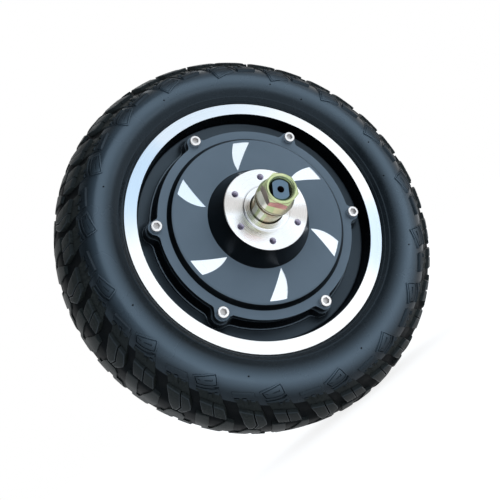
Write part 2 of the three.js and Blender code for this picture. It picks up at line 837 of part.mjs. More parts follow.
place('tyre', tyre(), 'rubber');
place('wheel_casting', wheelCasting(), 'castBlack');
place('front_cover', cover(true), 'coverBlack');
place('rear_cover', turnedRound(cover(false)), 'coverBlack');
around(lugCount, 0).forEach((angle, i) => {
  place(`cover_screw_front_${i + 1}`, spun(coverScrew(), angle), 'stainless');
});
around(lugCount, 0).forEach((angle, i) => {
  place(`cover_screw_rear_${i + 1}`, turnedRound(spun(coverScrew(), angle)), 'stainless');
});
placeBothSides('cover_gasket', gasket(), 'blackRubber');
placeBothSides('dust_seal', dustSeal(), 'blackRubber');
placeBothSides('bearing_outer_race', race(outerRaceRadius, bearingOuterRadius), 'bearingSteel');
placeBothSides('bearing_inner_race', race(bearingBoreRadius, innerRaceRadius), 'bearingSteel');
placeBothSides('bearing_ball_ring', ballRing(), 'bearingSteel');
place('rotor_ring', rotorRing(), 'coreSteel');
place('magnet_ring', magnetRing(), 'magnet');
place('valve_stem', valveStem(), 'brass');
place('valve_cap', valveCap(), 'blackRubber');
place('axle_shaft', axleShaft(), 'axleSteel');
place('stator_key', keyBlock(0), 'axleSteel');
place('stator_carrier', statorCarrier(), 'aluminium');
place('stator_core', statorCore(), 'coreSteel');
place('stator_windings', windings(), 'copper');
place('sensor_board', sensorBoard(), 'board');
place('cable_grommet', cableGrommet(), 'blackRubber');
placeBothSides('spacer_sleeve', spacerSleeve(), 'yellowZinc');
placeBothSides('flat_washer', flatWasher(), 'yellowZinc');
placeBothSides('lock_washer', lockWasher(), 'yellowZinc');
placeBothSides('axle_nut', axleNut(), 'yellowZinc');

export default wheel;
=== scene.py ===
"""Looks of the hub motor wheel: tyre, casting, covers, axle stack and fasteners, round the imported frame.

Shapes are made in millimetres and scaled to metres when a piece is finished. "Out" is the distance from the
wheel's centre plane towards the brake side, which is -Y. A rear piece is a front one turned round about Z.
"""
import math

import bmesh
import bpy
from mathutils import Matrix, Vector


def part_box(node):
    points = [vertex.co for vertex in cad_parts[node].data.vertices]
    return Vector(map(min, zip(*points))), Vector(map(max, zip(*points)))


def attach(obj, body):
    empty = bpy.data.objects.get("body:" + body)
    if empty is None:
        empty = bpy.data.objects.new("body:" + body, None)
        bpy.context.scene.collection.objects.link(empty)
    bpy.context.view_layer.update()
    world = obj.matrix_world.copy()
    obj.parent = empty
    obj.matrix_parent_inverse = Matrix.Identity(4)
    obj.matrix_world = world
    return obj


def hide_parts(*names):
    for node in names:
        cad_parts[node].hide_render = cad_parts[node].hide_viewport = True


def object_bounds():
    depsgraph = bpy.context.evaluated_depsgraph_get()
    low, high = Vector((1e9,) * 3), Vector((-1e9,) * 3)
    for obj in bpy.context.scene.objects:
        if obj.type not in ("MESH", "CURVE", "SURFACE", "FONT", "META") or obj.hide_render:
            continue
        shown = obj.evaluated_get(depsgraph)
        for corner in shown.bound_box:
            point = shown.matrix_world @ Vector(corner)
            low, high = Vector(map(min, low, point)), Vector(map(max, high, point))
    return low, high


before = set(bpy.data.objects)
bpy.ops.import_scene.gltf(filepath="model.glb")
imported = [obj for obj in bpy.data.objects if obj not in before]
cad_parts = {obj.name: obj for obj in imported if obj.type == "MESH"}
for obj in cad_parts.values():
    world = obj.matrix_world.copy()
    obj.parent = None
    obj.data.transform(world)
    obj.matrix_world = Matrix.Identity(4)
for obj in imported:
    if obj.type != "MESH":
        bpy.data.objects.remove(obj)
cad_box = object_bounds()

MM = 0.001
TURN = 2 * math.pi
WHEEL_STEPS = 288
HUB_STEPS = 192
SMALL_STEPS = 48
TYRE_STEPS = 340
AXLE_STEPS = 240
ARC_STEPS = 4
BAR_STEPS = 32

# Spin angles of the brake side, in degrees from +X towards +Z
HOLE_PHASE = 4
SCREW_PHASE = 34.1
BLADE_PHASE = 17.5
NUT_PHASE = 15.9
FLAT_PHASE = 148.9
VALVE_PHASE = 115.9
TREAD_PHASE = -61.17
FAR_TREAD_SHIFT = 3.1
LUG_COUNT = 6
LUG_ANGLE = 360 / LUG_COUNT
DRAFT_SHARE = 0.25

# Rim and casting
RIM_HALF = 28.3
RIM_FLANGE = 88.4
RIM_FLANGE_INSIDE = 24.3
RIM_OPENING = 80.2
BEAD_SEAT = 82.55
WELL_RADIUS = 79.6
WELL_HALF = 13.5
WELL_FLOOR_HALF = 10.55
RECESS_RADIUS = 76.6
WEB_FRONT = 14.3
WEB_DISH = 1.6
FRONT_RECESS_RADIUS = 79.2
HOUSING_FOOT = 69.7
HOUSING_RADIUS = 66.9
HOUSING_HALF = 22
MOTOR_BORE = 62
LUG_CIRCLE = 68.4
CASTING_LUG = 6.3
COVER_LUG = 5.1
LEDGE_WIDTH = 1.1
LEDGE_HEIGHT = 0.9
FOOT_LINE = 0.7

# Covers
COVER_FOOT = 22.3
FLANGE_TOP = 27.2
COVER_TOP = 31.5
HUB_FACE = 48.5
COLLAR_TOP = 49.8
DRUM_RADIUS = 57.4
DRUM_FOOT = 60.9
HUB_FACE_RADIUS = 27.4
BOSS_TOP = 27.9
BOSS_FOOT = 34.6
COLLAR_RADIUS = 15.4
BLADE_DEPTH = 0.4
DISC_CIRCLE = 22
DISC_HOLE = 2.1
DISC_HOLE_DEPTH = 8
BEARING_SEAT = 17.8
BEARING_START = 34.2
THREAD_PITCH = 0.8
THREAD_DEPTH = 0.3
THREAD_TURNS = 9
COVER_WALL = 4
SPIGOT_DEPTH = 2.2


def extent(node):
    """Radius of a round piece of the brake side and its two distances out, from the frame."""
    low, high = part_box(node)
    return high.x / MM, -high.y / MM, -low.y / MM


# Axle stack, from the frame
SEAL_RADIUS, SEAL_START, SEAL_END = extent("dust_seal_front")
FLARE_RADIUS, SLEEVE_START, SLEEVE_END = extent("spacer_sleeve_front")
WASHER_RADIUS, WASHER_START, WASHER_END = extent("flat_washer_front")
LOCK_RADIUS, LOCK_START, LOCK_END = extent("lock_washer_front")
NUT_RADIUS, NUT_START, NUT_TOP = extent("axle_nut_front")
AXLE_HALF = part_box("axle_shaft")[1].y / MM
SCREW_TOP = -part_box("cover_screw_front_1")[0].y / MM
CLEARANCE = 0.3
SEAL_BORE = SEAL_RADIUS + CLEARANCE
SLEEVE_RADIUS = 10.5
FLARE_LENGTH = 1.6
AXLE_RADIUS = 7
AXLE_FLAT = 5
AXLE_FLAT_START = 56
STACK_BORE = 7.3
SPLIT_WIDTH = 2.4
NUT_FLATS = 20
NUT_NECK = 9.7
NUT_CONE_END = 73.5
CROWN_ARC = 1.15
CROWN_RADIUS = 8.9
SCREW_HEAD = 3.75
SCREW_SHANK = 1.9
SOCKET_FLATS = 4.1
SOCKET_PHASE = 20
SOCKET_DEPTH = 2
SCREW_END = 15.5

# Tyre, from the frame where it bounds the whole wheel
TYRE_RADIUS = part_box("tyre")[1].z / MM
TYRE_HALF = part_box("tyre")[1].y / MM
WIDEST_RADIUS = 106
SIDEWALL_END = 117
GROOVE_START = 118
CROWN_STEPS = 64
TREAD_DEPTH = 4.4
LUG_STAND = 0.9
CROWN_FLAT = 5
FILL_START = 44
FILL_END = 53
FILL_SHARE = 0.8
LUG_PAIRS = 17
PITCH = 360 / LUG_PAIRS


# Materials

def tone(red, green, blue):
    """A linear colour from display values of 0 to 255."""
    return tuple((value / 255 / 12.92) if value < 11 else ((value / 255 + 0.055) / 1.055) ** 2.4
                 for value in (red, green, blue))


class Graph:
    """A node tree and short calls that add nodes to it."""

    def __init__(self, tree):
        self.tree = tree

    def feed(self, value, socket):
        if isinstance(value, bpy.types.NodeSocket):
            self.tree.links.new(value, socket)
        elif isinstance(value, tuple) and len(value) == 3 and socket.type == "RGBA":
            socket.default_value = (*value, 1)
        else:
            socket.default_value = value

    def add(self, kind, inputs=(), **settings):
        node = self.tree.nodes.new("ShaderNode" + kind)
        for setting, value in settings.items():
            setattr(node, setting, value)
        for socket, value in dict(inputs).items():
            self.feed(value, node.inputs[socket])
        return node

    def maths(self, operation, a, b=0.0):
        return self.add("Math", {0: a, 1: b}, operation=operation).outputs[0]

    def span(self, value, low, high, start=0.0, end=1.0):
        """A value's range from start to end, spread from low to high."""
        inputs = {"Value": value, "From Min": start, "From Max": end, "To Min": low, "To Max": high}
        return self.add("MapRange", inputs).outputs["Result"]

    def blend(self, factor, first, second):
        return self.add("Mix", {0: factor, 6: first, 7: second}, data_type="RGBA").outputs[2]


class Finish(Graph):
    """A material with its shader."""

    def __init__(self, name, color, roughness, metallic=0.0, **sockets):
        self.material = bpy.data.materials.new(name)
        self.material.use_nodes = True
        super().__init__(self.material.node_tree)
        self.shader = self.tree.nodes["Principled BSDF"]
        self.set("Base Color", color)
        self.set("Roughness", roughness)
        self.set("Metallic", metallic)
        for socket, value in sockets.items():
            self.set(socket.replace("_", " "), value)
        self.place = self.add("TexCoord").outputs["Object"]

    def set(self, socket, value):
        self.feed(value, self.shader.inputs[socket])

    def noise(self, scale, detail, vector=None):
        inputs = {"Vector": vector or self.place, "Scale": scale, "Detail": detail}
        return self.add("TexNoise", inputs).outputs["Fac"]

    def flat(self):
        """The place across the axle's line."""
        return self.add("VectorMath", {0: self.place, 1: (1, 0, 1)}, operation="MULTIPLY").outputs[0]

    def radius(self):
        """Distance from the axle's line."""
        return self.add("VectorMath", {0: self.flat()}, operation="LENGTH").outputs["Value"]

    def rings(self, per_metre):
        """Turning marks: noise that changes with the radius only."""
        across = self.add("CombineXYZ", {"X": self.radius()}).outputs[0]
        return self.noise(per_metre, 2, across)

    def lobe(self, degrees, reach, height):
        """A height in one direction round the axle, which falls softly to nought at an angle from it."""
        angle = math.radians(degrees)
        way = self.add("VectorMath", {0: self.flat()}, operation="NORMALIZE").outputs[0]
        inputs = {0: way, 1: (math.cos(angle), 0, math.sin(angle))}
        match = self.add("VectorMath", inputs, operation="DOT_PRODUCT").outputs["Value"]
        inputs = {"Value": match, "From Min": math.cos(math.radians(reach)), "To Max": height}
        return self.add("MapRange", inputs, interpolation_type="SMOOTHSTEP").outputs["Result"]

    def band(self, middle, reach):
        """One at a distance from the axle's line, and softly down to nought away from it."""
        off = self.maths("ABSOLUTE", self.maths("SUBTRACT", self.radius(), middle))
        inputs = {"Value": off, "From Max": reach, "To Min": 1, "To Max": 0}
        return self.add("MapRange", inputs, interpolation_type="SMOOTHSTEP").outputs["Result"]

    def relief(self, height, depth, strength, below=None):
        inputs = {"Height": height, "Strength": strength, "Distance": depth}
        if below is not None:
            inputs["Normal"] = below
        bumps = self.add("Bump", inputs).outputs["Normal"]
        self.set("Normal", bumps)
        return bumps


# Tint of a reflection in rubber and paint: the cool colour of the sky painted into the reflection
COOL_GLOSS = tone(206, 232, 255)


def rubber(name, dark, light, roughness, gloss):
    finish = Finish(name, dark, roughness, Specular_IOR_Level=gloss, Specular_Tint=COOL_GLOSS)
    patches = finish.span(finish.noise(38, 4), 0, 1, 0.35, 0.65)
    specks = finish.span(finish.noise(900, 2), 0, 1, 0.42, 0.62)
    dusty = finish.maths("MULTIPLY", patches, specks)
    finish.set("Base Color", finish.blend(dusty, dark, light))
    finish.set("Roughness", finish.span(patches, roughness - 0.05, roughness + 0.07))
    coarse = finish.relief(finish.noise(240, 3), 0.00012, 0.35)
    finish.relief(finish.noise(2600, 2), 0.00002, 0.5, coarse)
    return finish


# Radius and reach of the sidewall's glossier band, which also carries a painted sheen in its colour
SHEEN_BAND_RADIUS = 0.1052
SHEEN_BAND_REACH = 0.0098


def sidewall():
    """Rubber with a glossier band round the widest part of the sidewall, whose colour is lighter there too:
    a painted sheen.
    """
    finish = rubber("sidewall_rubber", tone(23, 29, 33), tone(33, 40, 46), 0.26, 0.3)
    dusty = finish.shader.inputs["Base Color"].links[0].from_socket
    gloss_and_painted_sheen = finish.band(SHEEN_BAND_RADIUS, SHEEN_BAND_REACH)
    # Painted sheen: the band's lighter bluish colour stands in for the sky box's reflection; its higher
    # gloss on the next line is real
    finish.set("Base Color", finish.blend(gloss_and_painted_sheen, dusty, tone(64, 78, 89)))
    finish.set("Specular IOR Level", finish.span(gloss_and_painted_sheen, 0.3, 1))
    return finish.material


def paint(name, dark, light, roughness, gloss=0.5):
    finish = Finish(name, dark, roughness, Specular_IOR_Level=gloss, Specular_Tint=COOL_GLOSS)
    cloud = finish.span(finish.noise(30, 3), 0, 1, 0.3, 0.7)
    finish.set("Base Color", finish.blend(cloud, dark, light))
    finish.set("Roughness", finish.span(finish.noise(1400, 2), roughness - 0.05, roughness + 0.05))
    finish.relief(finish.noise(2400, 2), 0.000008, 0.4)
    return finish.material


# Sectors of turned faces tinted with painted reflections: (degrees, reach in degrees, height)
RIM_REFLECTION_LOBES = ((130, 34, 1), (95, 62, 0.5), (322, 24, 0.8))
DISC_REFLECTION_LOBES = ((142, 22, 1), (322, 20, 1))
BLADE_REFLECTION_LOBES = ((132, 60, 1),)


def turned_metal(name, color, tint, roughness, marks=1800, reflection_lobes=BLADE_REFLECTION_LOBES):
    """Bare metal off the lathe: fine rings that stretch a reflection across them, and sectors tinted with a
    painted reflection.
    """
    finish = Finish(name, color, roughness, 1.0, Anisotropic=0.75)
    finish.set("Tangent", finish.add("Tangent", direction_type="RADIAL", axis="Y").outputs[0])
    rings = finish.rings(marks)
    # Painted reflection: sectors round the axle take the tint colour
    painted_reflection = 0.0
    for degrees, reach, height in reflection_lobes:
        painted_reflection = finish.maths("MAXIMUM", painted_reflection, finish.lobe(degrees, reach, height))
    finish.set("Base Color", finish.blend(painted_reflection, color, tint))
    finish.set("Roughness", finish.span(rings, roughness - 0.05, roughness + 0.06, 0.3, 0.7))
    finish.relief(rings, 0.000003, 0.5)
    return finish.material


def plated(name, color, tint, roughness=0.24):
    """Passivated zinc, whose colour drifts from place to place."""
    finish = Finish(name, color, roughness, 0.7)
    drift = finish.span(finish.noise(90, 2), 0, 1, 0.4, 0.62)
    finish.set("Base Color", finish.blend(drift, color, tint))
    finish.set("Roughness", finish.span(finish.noise(900, 3), roughness - 0.04, roughness + 0.06))
    finish.relief(finish.noise(700, 2), 0.000006, 0.4)
    return finish.material


def plain_metal(name, color, roughness, grain=1500):
    finish = Finish(name, color, roughness, 1.0)
    finish.set("Roughness", finish.span(finish.noise(grain, 3), roughness - 0.06, roughness + 0.1))
    finish.relief(finish.noise(grain * 0.7, 2), 0.00001, 0.4)
    return finish.material


def layered(name, color, seam, per_metre, metallic, roughness):
    """Stacked sheets or wound wire: fine stripes that follow one another along the axle."""
    finish = Finish(name, color, roughness, metallic)
    along = finish.add("SeparateXYZ", {0: finish.place}).outputs["Y"]
    wave = finish.maths("FRACT", finish.maths("MULTIPLY", along, per_metre))
    ridge = finish.maths("PINGPONG", wave, 0.5)
    finish.set("Base Color", finish.blend(finish.span(ridge, 0, 1, 0.05, 0.2), seam, color))
    finish.relief(ridge, 0.00015, 0.7)
    return finish.material


sidewall_rubber = sidewall()
tread_rubber = rubber("tread_rubber", tone(23, 26, 24), tone(38, 42, 39), 0.55, 0.18).material
# Painted highlight: slightly lighter, glossier rubber on the bevelled edges of the crown blocks, standing in
# for the light on those edges
edge_highlight_rubber = rubber("edge_highlight_rubber", tone(25, 28, 28), tone(38, 43, 43), 0.4, 0.35).material
# Painted shade: near-black rubber on the floor of the grooves between the tread blocks
groove_shade_rubber = rubber("groove_shade_rubber", tone(5, 6, 6), tone(12, 13, 12), 0.65, 0.1).material
seal_rubber = rubber("seal_rubber", tone(7, 7, 9), tone(14, 14, 16), 0.5, 0.3).material
# Painted shade: near-black rubber for the vent stubs, standing in for their shadow
vent_shade_rubber = rubber("vent_shade_rubber", tone(3, 3, 3), tone(6, 6, 6), 0.6, 0.2).material
casting_paint = paint("casting_paint", tone(3, 3, 4), tone(6, 7, 9), 0.28, 0.3)
# Lit copies of the black casting paint: painted sheen on the recess floor, painted highlight on the ledge
sheen_lit_recess_paint = paint("sheen_lit_recess_paint", tone(34, 41, 47), tone(44, 52, 58), 0.36, 0.6)
highlight_lit_ledge_paint = paint("highlight_lit_ledge_paint", tone(96, 108, 118), tone(118, 130, 140), 0.35)
# Lit and shaded copies of one black cover paint: painted sheen on the flat faces, painted shade on the walls
# and the boss
sheen_lit_cover_paint = paint("sheen_lit_cover_paint", tone(99, 114, 127), tone(106, 121, 134), 0.46)
shaded_cover_paint = paint("shaded_cover_paint", tone(1, 2, 2), tone(3, 4, 5), 0.3, 0.2)
# The tints of rim, disc and blade metal are painted reflections: bluish sky on the rim and blades, tan of
# the plated axle stack on the disc
rim_metal = turned_metal("rim_metal", tone(246, 247, 248), tone(202, 223, 243), 0.3, reflection_lobes=RIM_REFLECTION_LOBES)
disc_metal = turned_metal("disc_metal", tone(243, 245, 248), tone(208, 203, 199), 0.26, 1400, DISC_REFLECTION_LOBES)
blade_metal = turned_metal("blade_metal", tone(238, 244, 250), tone(226, 238, 250), 0.3)
thread_metal = plain_metal("thread_metal", tone(228, 224, 240), 0.5)
green_zinc = plated("green_zinc", tone(212, 220, 172), tone(196, 212, 158))
pink_zinc = plated("pink_zinc", tone(240, 172, 158), tone(232, 158, 146))
gold_zinc = plated("gold_zinc", tone(190, 172, 84), tone(160, 150, 80))
brown_zinc = plated("brown_zinc", tone(206, 188, 172), tone(166, 148, 138), 0.4)
cream_zinc = plated("cream_zinc", tone(250, 240, 206), tone(228, 220, 176))
# Near-white zinc: painted highlights on the sleeve and the nut's cone
highlight_zinc = plated("highlight_zinc", tone(252, 250, 238), tone(236, 240, 218))
# Dark zinc on the washers' faces where they meet: painted shade in the gaps
gap_shade_zinc = plated("gap_shade_zinc", tone(84, 64, 54), tone(66, 52, 46), 0.4)
tan_zinc = plated("tan_zinc", tone(206, 184, 150), tone(168, 172, 138))
stainless = plain_metal("stainless", tone(232, 230, 230), 0.24)
socket_metal = plain_metal("socket_metal", tone(206, 204, 204), 0.5)
axle_metal = plain_metal("axle_metal", tone(98, 119, 137), 0.34)
hole_shade = paint("hole_shade", tone(14, 10, 14), tone(22, 14, 18), 0.5, 0.1)
bearing_metal = plain_metal("bearing_metal", tone(204, 204, 206), 0.22)
rotor_metal = plain_metal("rotor_metal", tone(168, 168, 170), 0.38)
magnet_metal = plain_metal("magnet_metal", tone(186, 186, 190), 0.28)
carrier_metal = plain_metal("carrier_metal", tone(202, 203, 206), 0.42, 700)
brass = plain_metal("brass", tone(206, 188, 134), 0.26)
core_sheets = layered("core_sheets", tone(153, 153, 157), tone(79, 79, 84), 2000, 1.0, 0.4)
copper_wire = layered("copper_wire", tone(206, 134, 89), tone(124, 69, 49), 1200, 0.9, 0.3)
board_lacquer = paint("board_lacquer", tone(28, 85, 53), tone(38, 101, 63), 0.35)
cap_plastic = paint("cap_plastic", tone(25, 25, 27), tone(33, 33, 34), 0.4)


# Shapes

def polar(radius, degrees, out=0.0):
    angle = math.radians(degrees)
    return Vector((radius * math.cos(angle), -out, radius * math.sin(angle)))


def place_of(point):
    """Radius and angle of a point round the axle, from +X towards +Z."""
    return math.hypot(point.x, point.z), math.degrees(math.atan2(point.z, point.x))


def pull(vert, factor):
    """Moves a point straight towards the axle's line or away from it."""
    vert.co.x *= factor
    vert.co.z *= factor


def rounded(points):
    """A closed outline. A point's third value is its arc's radius; an arc gets a support point each side."""
    outline = []
    for i, (x, y, *arc) in enumerate(points):
        corner = Vector((x, y))
        if not arc:
            outline.append((x, y))
            continue
        before = Vector(points[i - 1][:2]) - corner
        after = Vector(points[(i + 1) % len(points)][:2]) - corner
        half = before.angle(after) / 2
        reach = arc[0] / math.tan(half)
        support = arc[0] * 0.3
        before.normalize()
        after.normalize()
        centre = corner + (before + after).normalized() * arc[0] / math.sin(half)
        start = corner + before * reach - centre
        end = corner + after * reach - centre
        sweep = start.angle_signed(end)
        outline.append(tuple(corner + before * (reach + support)))
        for step in range(ARC_STEPS + 1):
            turn = Matrix.Rotation(-sweep * step / ARC_STEPS, 2)
            outline.append(tuple(centre + turn @ start))
        outline.append(tuple(corner + after * (reach + support)))
    return outline


def turned(profile, steps=HUB_STEPS):
    """Spins (radius, out) points round the axle. The profile is closed, or starts and ends on the axis."""
    bm = bmesh.new()
    verts = [bm.verts.new((radius, -out, 0)) for radius, out in profile]
    pairs = list(zip(verts, verts[1:]))
    if profile[0][0] > 0:
        pairs.append((verts[-1], verts[0]))
    edges = [bm.edges.new(pair) for pair in pairs]
    bmesh.ops.spin(bm, geom=verts + edges, cent=(0, 0, 0), axis=(0, 1, 0), angle=TURN, steps=steps,
                   use_merge=True)
    bmesh.ops.remove_doubles(bm, verts=bm.verts, dist=0.0005)
    return bm


def placed(bm, matrix):
    bmesh.ops.transform(bm, matrix=matrix, verts=bm.verts)
    return bm


def spun(degrees):
    """A turn round the axle, from +X towards +Z."""
    return Matrix.Rotation(-math.radians(degrees), 4, "Y")


TURNED_ROUND = Matrix.Rotation(math.pi, 4, "Z")
SIDES = (("front", Matrix.Identity(4)), ("rear", TURNED_ROUND))


def joined(parts):
    bm = bmesh.new()
    for part in parts:
        mesh = bpy.data.meshes.new("part")
        part.to_mesh(mesh)
        bm.from_mesh(mesh)
        bpy.data.meshes.remove(mesh)
        part.free()
    return bm


def copied(bm, matrix):
    return placed(bm.copy(), matrix)


def shown(name, data):
    """An object in the scene, of a mesh, a camera or a lamp."""
    made = bpy.data.objects.new(name, data)
    bpy.context.scene.collection.objects.link(made)
    return made


def meshed(name, bm, materials):
    mesh = bpy.data.meshes.new(name)
    bm.to_mesh(mesh)
    bm.free()
    for material in materials:
        mesh.materials.append(material)
    return shown(name, mesh)


def piece(name, bm, materials, body, nodes, crease=32):
    """Finishes a piece: faces outwards, metres, its materials and its body."""
    bmesh.ops.recalc_face_normals(bm, faces=bm.faces)
    bmesh.ops.scale(bm, vec=(MM, MM, MM), verts=bm.verts)
    made = meshed(name, bm, materials)
    made.data.shade_smooth()
    made.data.set_sharp_from_angle(angle=math.radians(crease))
    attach(made, body)
    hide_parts(*nodes)


def cut(target, cutter, materials):
    """Cuts one mesh out of another. Both use the same list of materials, so each face keeps its own."""
    objects = []
    for bm in (target, cutter):
        bmesh.ops.recalc_face_normals(bm, faces=bm.faces)
        objects.append(meshed("cut", bm, materials))
    modifier = objects[0].modifiers.new("cut", "BOOLEAN")
    modifier.operation = "DIFFERENCE"
    modifier.solver = "EXACT"
    modifier.object = objects[1]
    done = objects[0].evaluated_get(bpy.context.evaluated_depsgraph_get())
    result = bmesh.new()
    result.from_mesh(done.data)
    for made in objects:
        bpy.data.objects.remove(made)
    return result


def dressed(bm, choose):
    """Gives each face its place in the list of materials, by its radius, its distance out and its facing."""
    bmesh.ops.recalc_face_normals(bm, faces=bm.faces)
    for face in bm.faces:
        centre = face.calc_center_median()
        face.material_index = choose(place_of(centre)[0], -centre.y, -face.normal.y)
    return bm


def streaked(bm, bands):
    """Gives each face its material by its angle round the axle, from (up to degrees, place) pairs."""
    for face in bm.faces:
        angle = place_of(face.calc_center_median())[1] % 360
        face.material_index = next(place for limit, place in bands if angle <= limit)
    return bm


def prism(outline, low, high):
    """A closed outline of (x, z) points, extruded between two distances out."""
    bm = bmesh.new()
    face = bm.faces.new([bm.verts.new((x, -low, z)) for x, z in outline])
    made = bmesh.ops.extrude_face_region(bm, geom=[face])
    bmesh.ops.translate(bm, vec=(0, low - high, 0),
                        verts=[part for part in made["geom"] if isinstance(part, bmesh.types.BMVert)])
    return bm


def bar(radius, low, high, centre):
    """A round bar along the axle's direction."""
    bm = bmesh.new()
    upright = Matrix.Rotation(math.pi / 2, 4, "X")
    place = Matrix.Translation(centre + Vector((0, -(low + high) / 2, 0)))
    bmesh.ops.create_cone(bm, cap_ends=True, segments=BAR_STEPS, radius1=radius, radius2=radius,
                          depth=high - low, matrix=place @ upright)
    return bm


# Lugs round the motor housing

LUG_BLEND = 2.2
RIDGE_SHARE = 0.8


def lug_swell(degrees, base, lug):
    """Radius of a round wall with lugs, at an angle, with a soft hollow where a lug meets the wall."""
    off = abs((degrees - SCREW_PHASE + LUG_ANGLE / 2) % LUG_ANGLE - LUG_ANGLE / 2)
    edge = math.degrees(math.asin(lug / LUG_CIRCLE))
    foot = edge * RIDGE_SHARE
    if off < foot:
        across = LUG_CIRCLE * math.sin(math.radians(off))
        return max(base, LUG_CIRCLE * math.cos(math.radians(off)) + math.sqrt(lug ** 2 - across ** 2))
    fade = max(0.0, 1 - (off - foot) / (edge - foot + LUG_BLEND))
    top = LUG_CIRCLE * math.cos(math.radians(foot)) + lug * math.sqrt(1 - RIDGE_SHARE ** 2)
    return max(base, base + (top - base) * fade ** 2.2)


def swell(bm, low, high, out_low, out_high, lug, draft=1.0):
    """Pushes a turned wall outwards at its lugs. The draft is how much they grow down a sloped wall."""
    for vert in bm.verts:
        radius, angle = place_of(vert.co)
        if low <= radius <= high and out_low <= -vert.co.y <= out_high:
            grown = radius - HOUSING_RADIUS
            pull(vert, lug_swell(angle, radius, lug + grown * (draft if grown > 0 else 1)) / radius)


# Tyre

def crown_points(radius, half):
    """From the widest part of the sidewall round to the crown, up to a radius and a distance out."""
    points = []
    for step in range(CROWN_STEPS + 1):
        share = math.cos(math.pi / 2 * step / CROWN_STEPS)
        height = (radius - WIDEST_RADIUS) * math.sqrt(1 - share ** 2)
        points.append((WIDEST_RADIUS + height, CROWN_FLAT + (half - CROWN_FLAT) * share))
    return [*points, (radius, 0)]


# Sidewall points of (radius, out), on the lugs' tops and on the casing between them
LUG_SIDE = [(88.9, 28.6), (91.5, 32), (97, 35.2), (101, 36.4)]
CASING_SIDE = [(88.9, 28.6), (91.8, 31.6), (97, 34.3), (101, 35.5)]
LUG_LINE = LUG_SIDE + crown_points(TYRE_RADIUS, TYRE_HALF)
GROOVE_LINE = CASING_SIDE + crown_points(TYRE_RADIUS - TREAD_DEPTH, TYRE_HALF - LUG_STAND)
ALONG = [0.0]
for here, after in zip(LUG_LINE, LUG_LINE[1:]):
    ALONG.append(ALONG[-1] + math.dist(here, after))


def filled(along, groove, lug):
    """A point of the casing. Past the shoulder the grooves are shallower."""
    rise = min(max((along - FILL_START) / (FILL_END - FILL_START), 0.0), 1.0)
    share = FILL_SHARE * rise * rise * (3 - 2 * rise)
    return tuple(a + (b - a) * share for a, b in zip(groove, lug))


CASING_LINE = [filled(*points) for points in zip(ALONG, GROOVE_LINE, LUG_LINE)]


def on_tyre(along, height):
    """(radius, out) at a distance along the section from the rim, 0 high on the casing and 1 on the lugs."""
    along = min(max(along, 0.0), ALONG[-1] - 1e-6)
    i = max(k for k in range(len(ALONG) - 1) if ALONG[k] <= along)
    share = (along - ALONG[i]) / (ALONG[i + 1] - ALONG[i])
    low = [a + (b - a) * share for a, b in zip(CASING_LINE[i], CASING_LINE[i + 1])]
    top = [a + (b - a) * share for a, b in zip(LUG_LINE[i], LUG_LINE[i + 1])]
    return [a + (b - a) * height for a, b in zip(low, top)]


def tyre_casing():
    """The tyre below its tread: beads, sidewalls with a moulded foot, and the floor of the grooves."""
    bead = [(83.2, 14), (83.2, 23.6, 1), (89.2, 24, 0.4), (89.2, 27.8, 0.3)]
    foot = [(88.8, 28.5), (89.5, 29.2), (90.0, 29.9), (90.4, 29.9), (90.9, 30.5), (91.6, 31.2), (92.2, 31.9),
            (92.6, 31.9), (93.3, 32.3), (94.2, 32.9), (95.4, 33.5)]
    side = [point for point in CASING_LINE if point[0] >= 97 and point[1] > 0]
    outer = rounded(bead + foot + side)
    inner = [(TYRE_RADIUS - 11, 0), (WIDEST_RADIUS + 12, 20), (WIDEST_RADIUS, 29), (97, 27), (90, 16)]
    profile = outer + [(radius, -out) for radius, out in reversed(outer)]
    profile += [(radius, -out) for radius, out in reversed(inner[1:])] + inner
    # Past the groove start the casing is the floor of the grooves, in near-black rubber: painted shade
    bm = dressed(turned(profile, TYRE_STEPS), lambda radius, out, facing: int(radius > GROOVE_START))
    piece("tyre_casing", bm, [sidewall_rubber, groove_shade_rubber], "wheel", ["tyre"], 40)


# One pitch of the tread on the brake side, as outlines of (degrees round, distance along the section).
# The degrees start from the pitch's own line, and the lugs lean as they near the crown.
FLAT_SCALE = 2.2
BLOCK_RISE = 4.0
BLOCK_FOOT = -0.6
BEND_STEP = 3
TREAD_START = 270 + TREAD_PHASE
SHORT_RIM = [(-5.4, 28.5), (1.2, 26.7), (1.9, 29), (-4.7, 30.9)]
SHORT_FLOOR = [(-4.7, 30.2), (1.9, 28.3), (4.9, 40.4), (-2.2, 38.6)]
SHORT_CROWN = [[(-2.1, 38.8), (2.2, 39.9), (4.1, 50), (3.6, 54.6), (2.6, 55.2), (0.6, 49), (-0.4, 44.5)],
               [(2.5, 40), (5.1, 40.7), (6.6, 46), (6.9, 48.6), (5.2, 54.8), (4, 54.6), (4.5, 50)]]
LONG_ISLAND = [(9.6, 19.7), (10.3, 21.6), (11.4, 26.6), (9.8, 28.4), (7.6, 29.6), (5, 30.2), (2.9, 26)]
LONG_RIM = [(11.6, 28), (9.9, 30), (7.7, 31.2), (5.3, 31.8), (5.6, 33), (8, 32.4), (10.2, 31.2),
            (11.9, 29.2)]
LONG_FLOOR = [(5.4, 31.2), (11.7, 28.4), (14.9, 39.4), (7.6, 38.3)]
LONG_CROWN = [[(7.8, 38.5), (11.6, 39.1), (13.2, 47.4), (10.1, 47.2), (9.3, 44.5)],
              [(11.9, 39.2), (15.1, 39.8), (16.6, 46.2), (16.7, 47.6), (13.5, 47.5)]]
CENTRE_NARROW = [(2.3, 56.4), (5.4, 56.4), (6.6, 60.5), (7.1, 71), (1.2, 71), (1.6, 60.5)]
CENTRE_LEFT = [(8.4, 48.8), (12.1, 48.8), (13.4, 60), (14, 71), (10.8, 71), (9.6, 60)]
CENTRE_RIGHT = [(16.9, 48.7), (19.1, 49.4), (19.9, 60), (19.3, 71), (14.9, 71), (15.3, 60)]
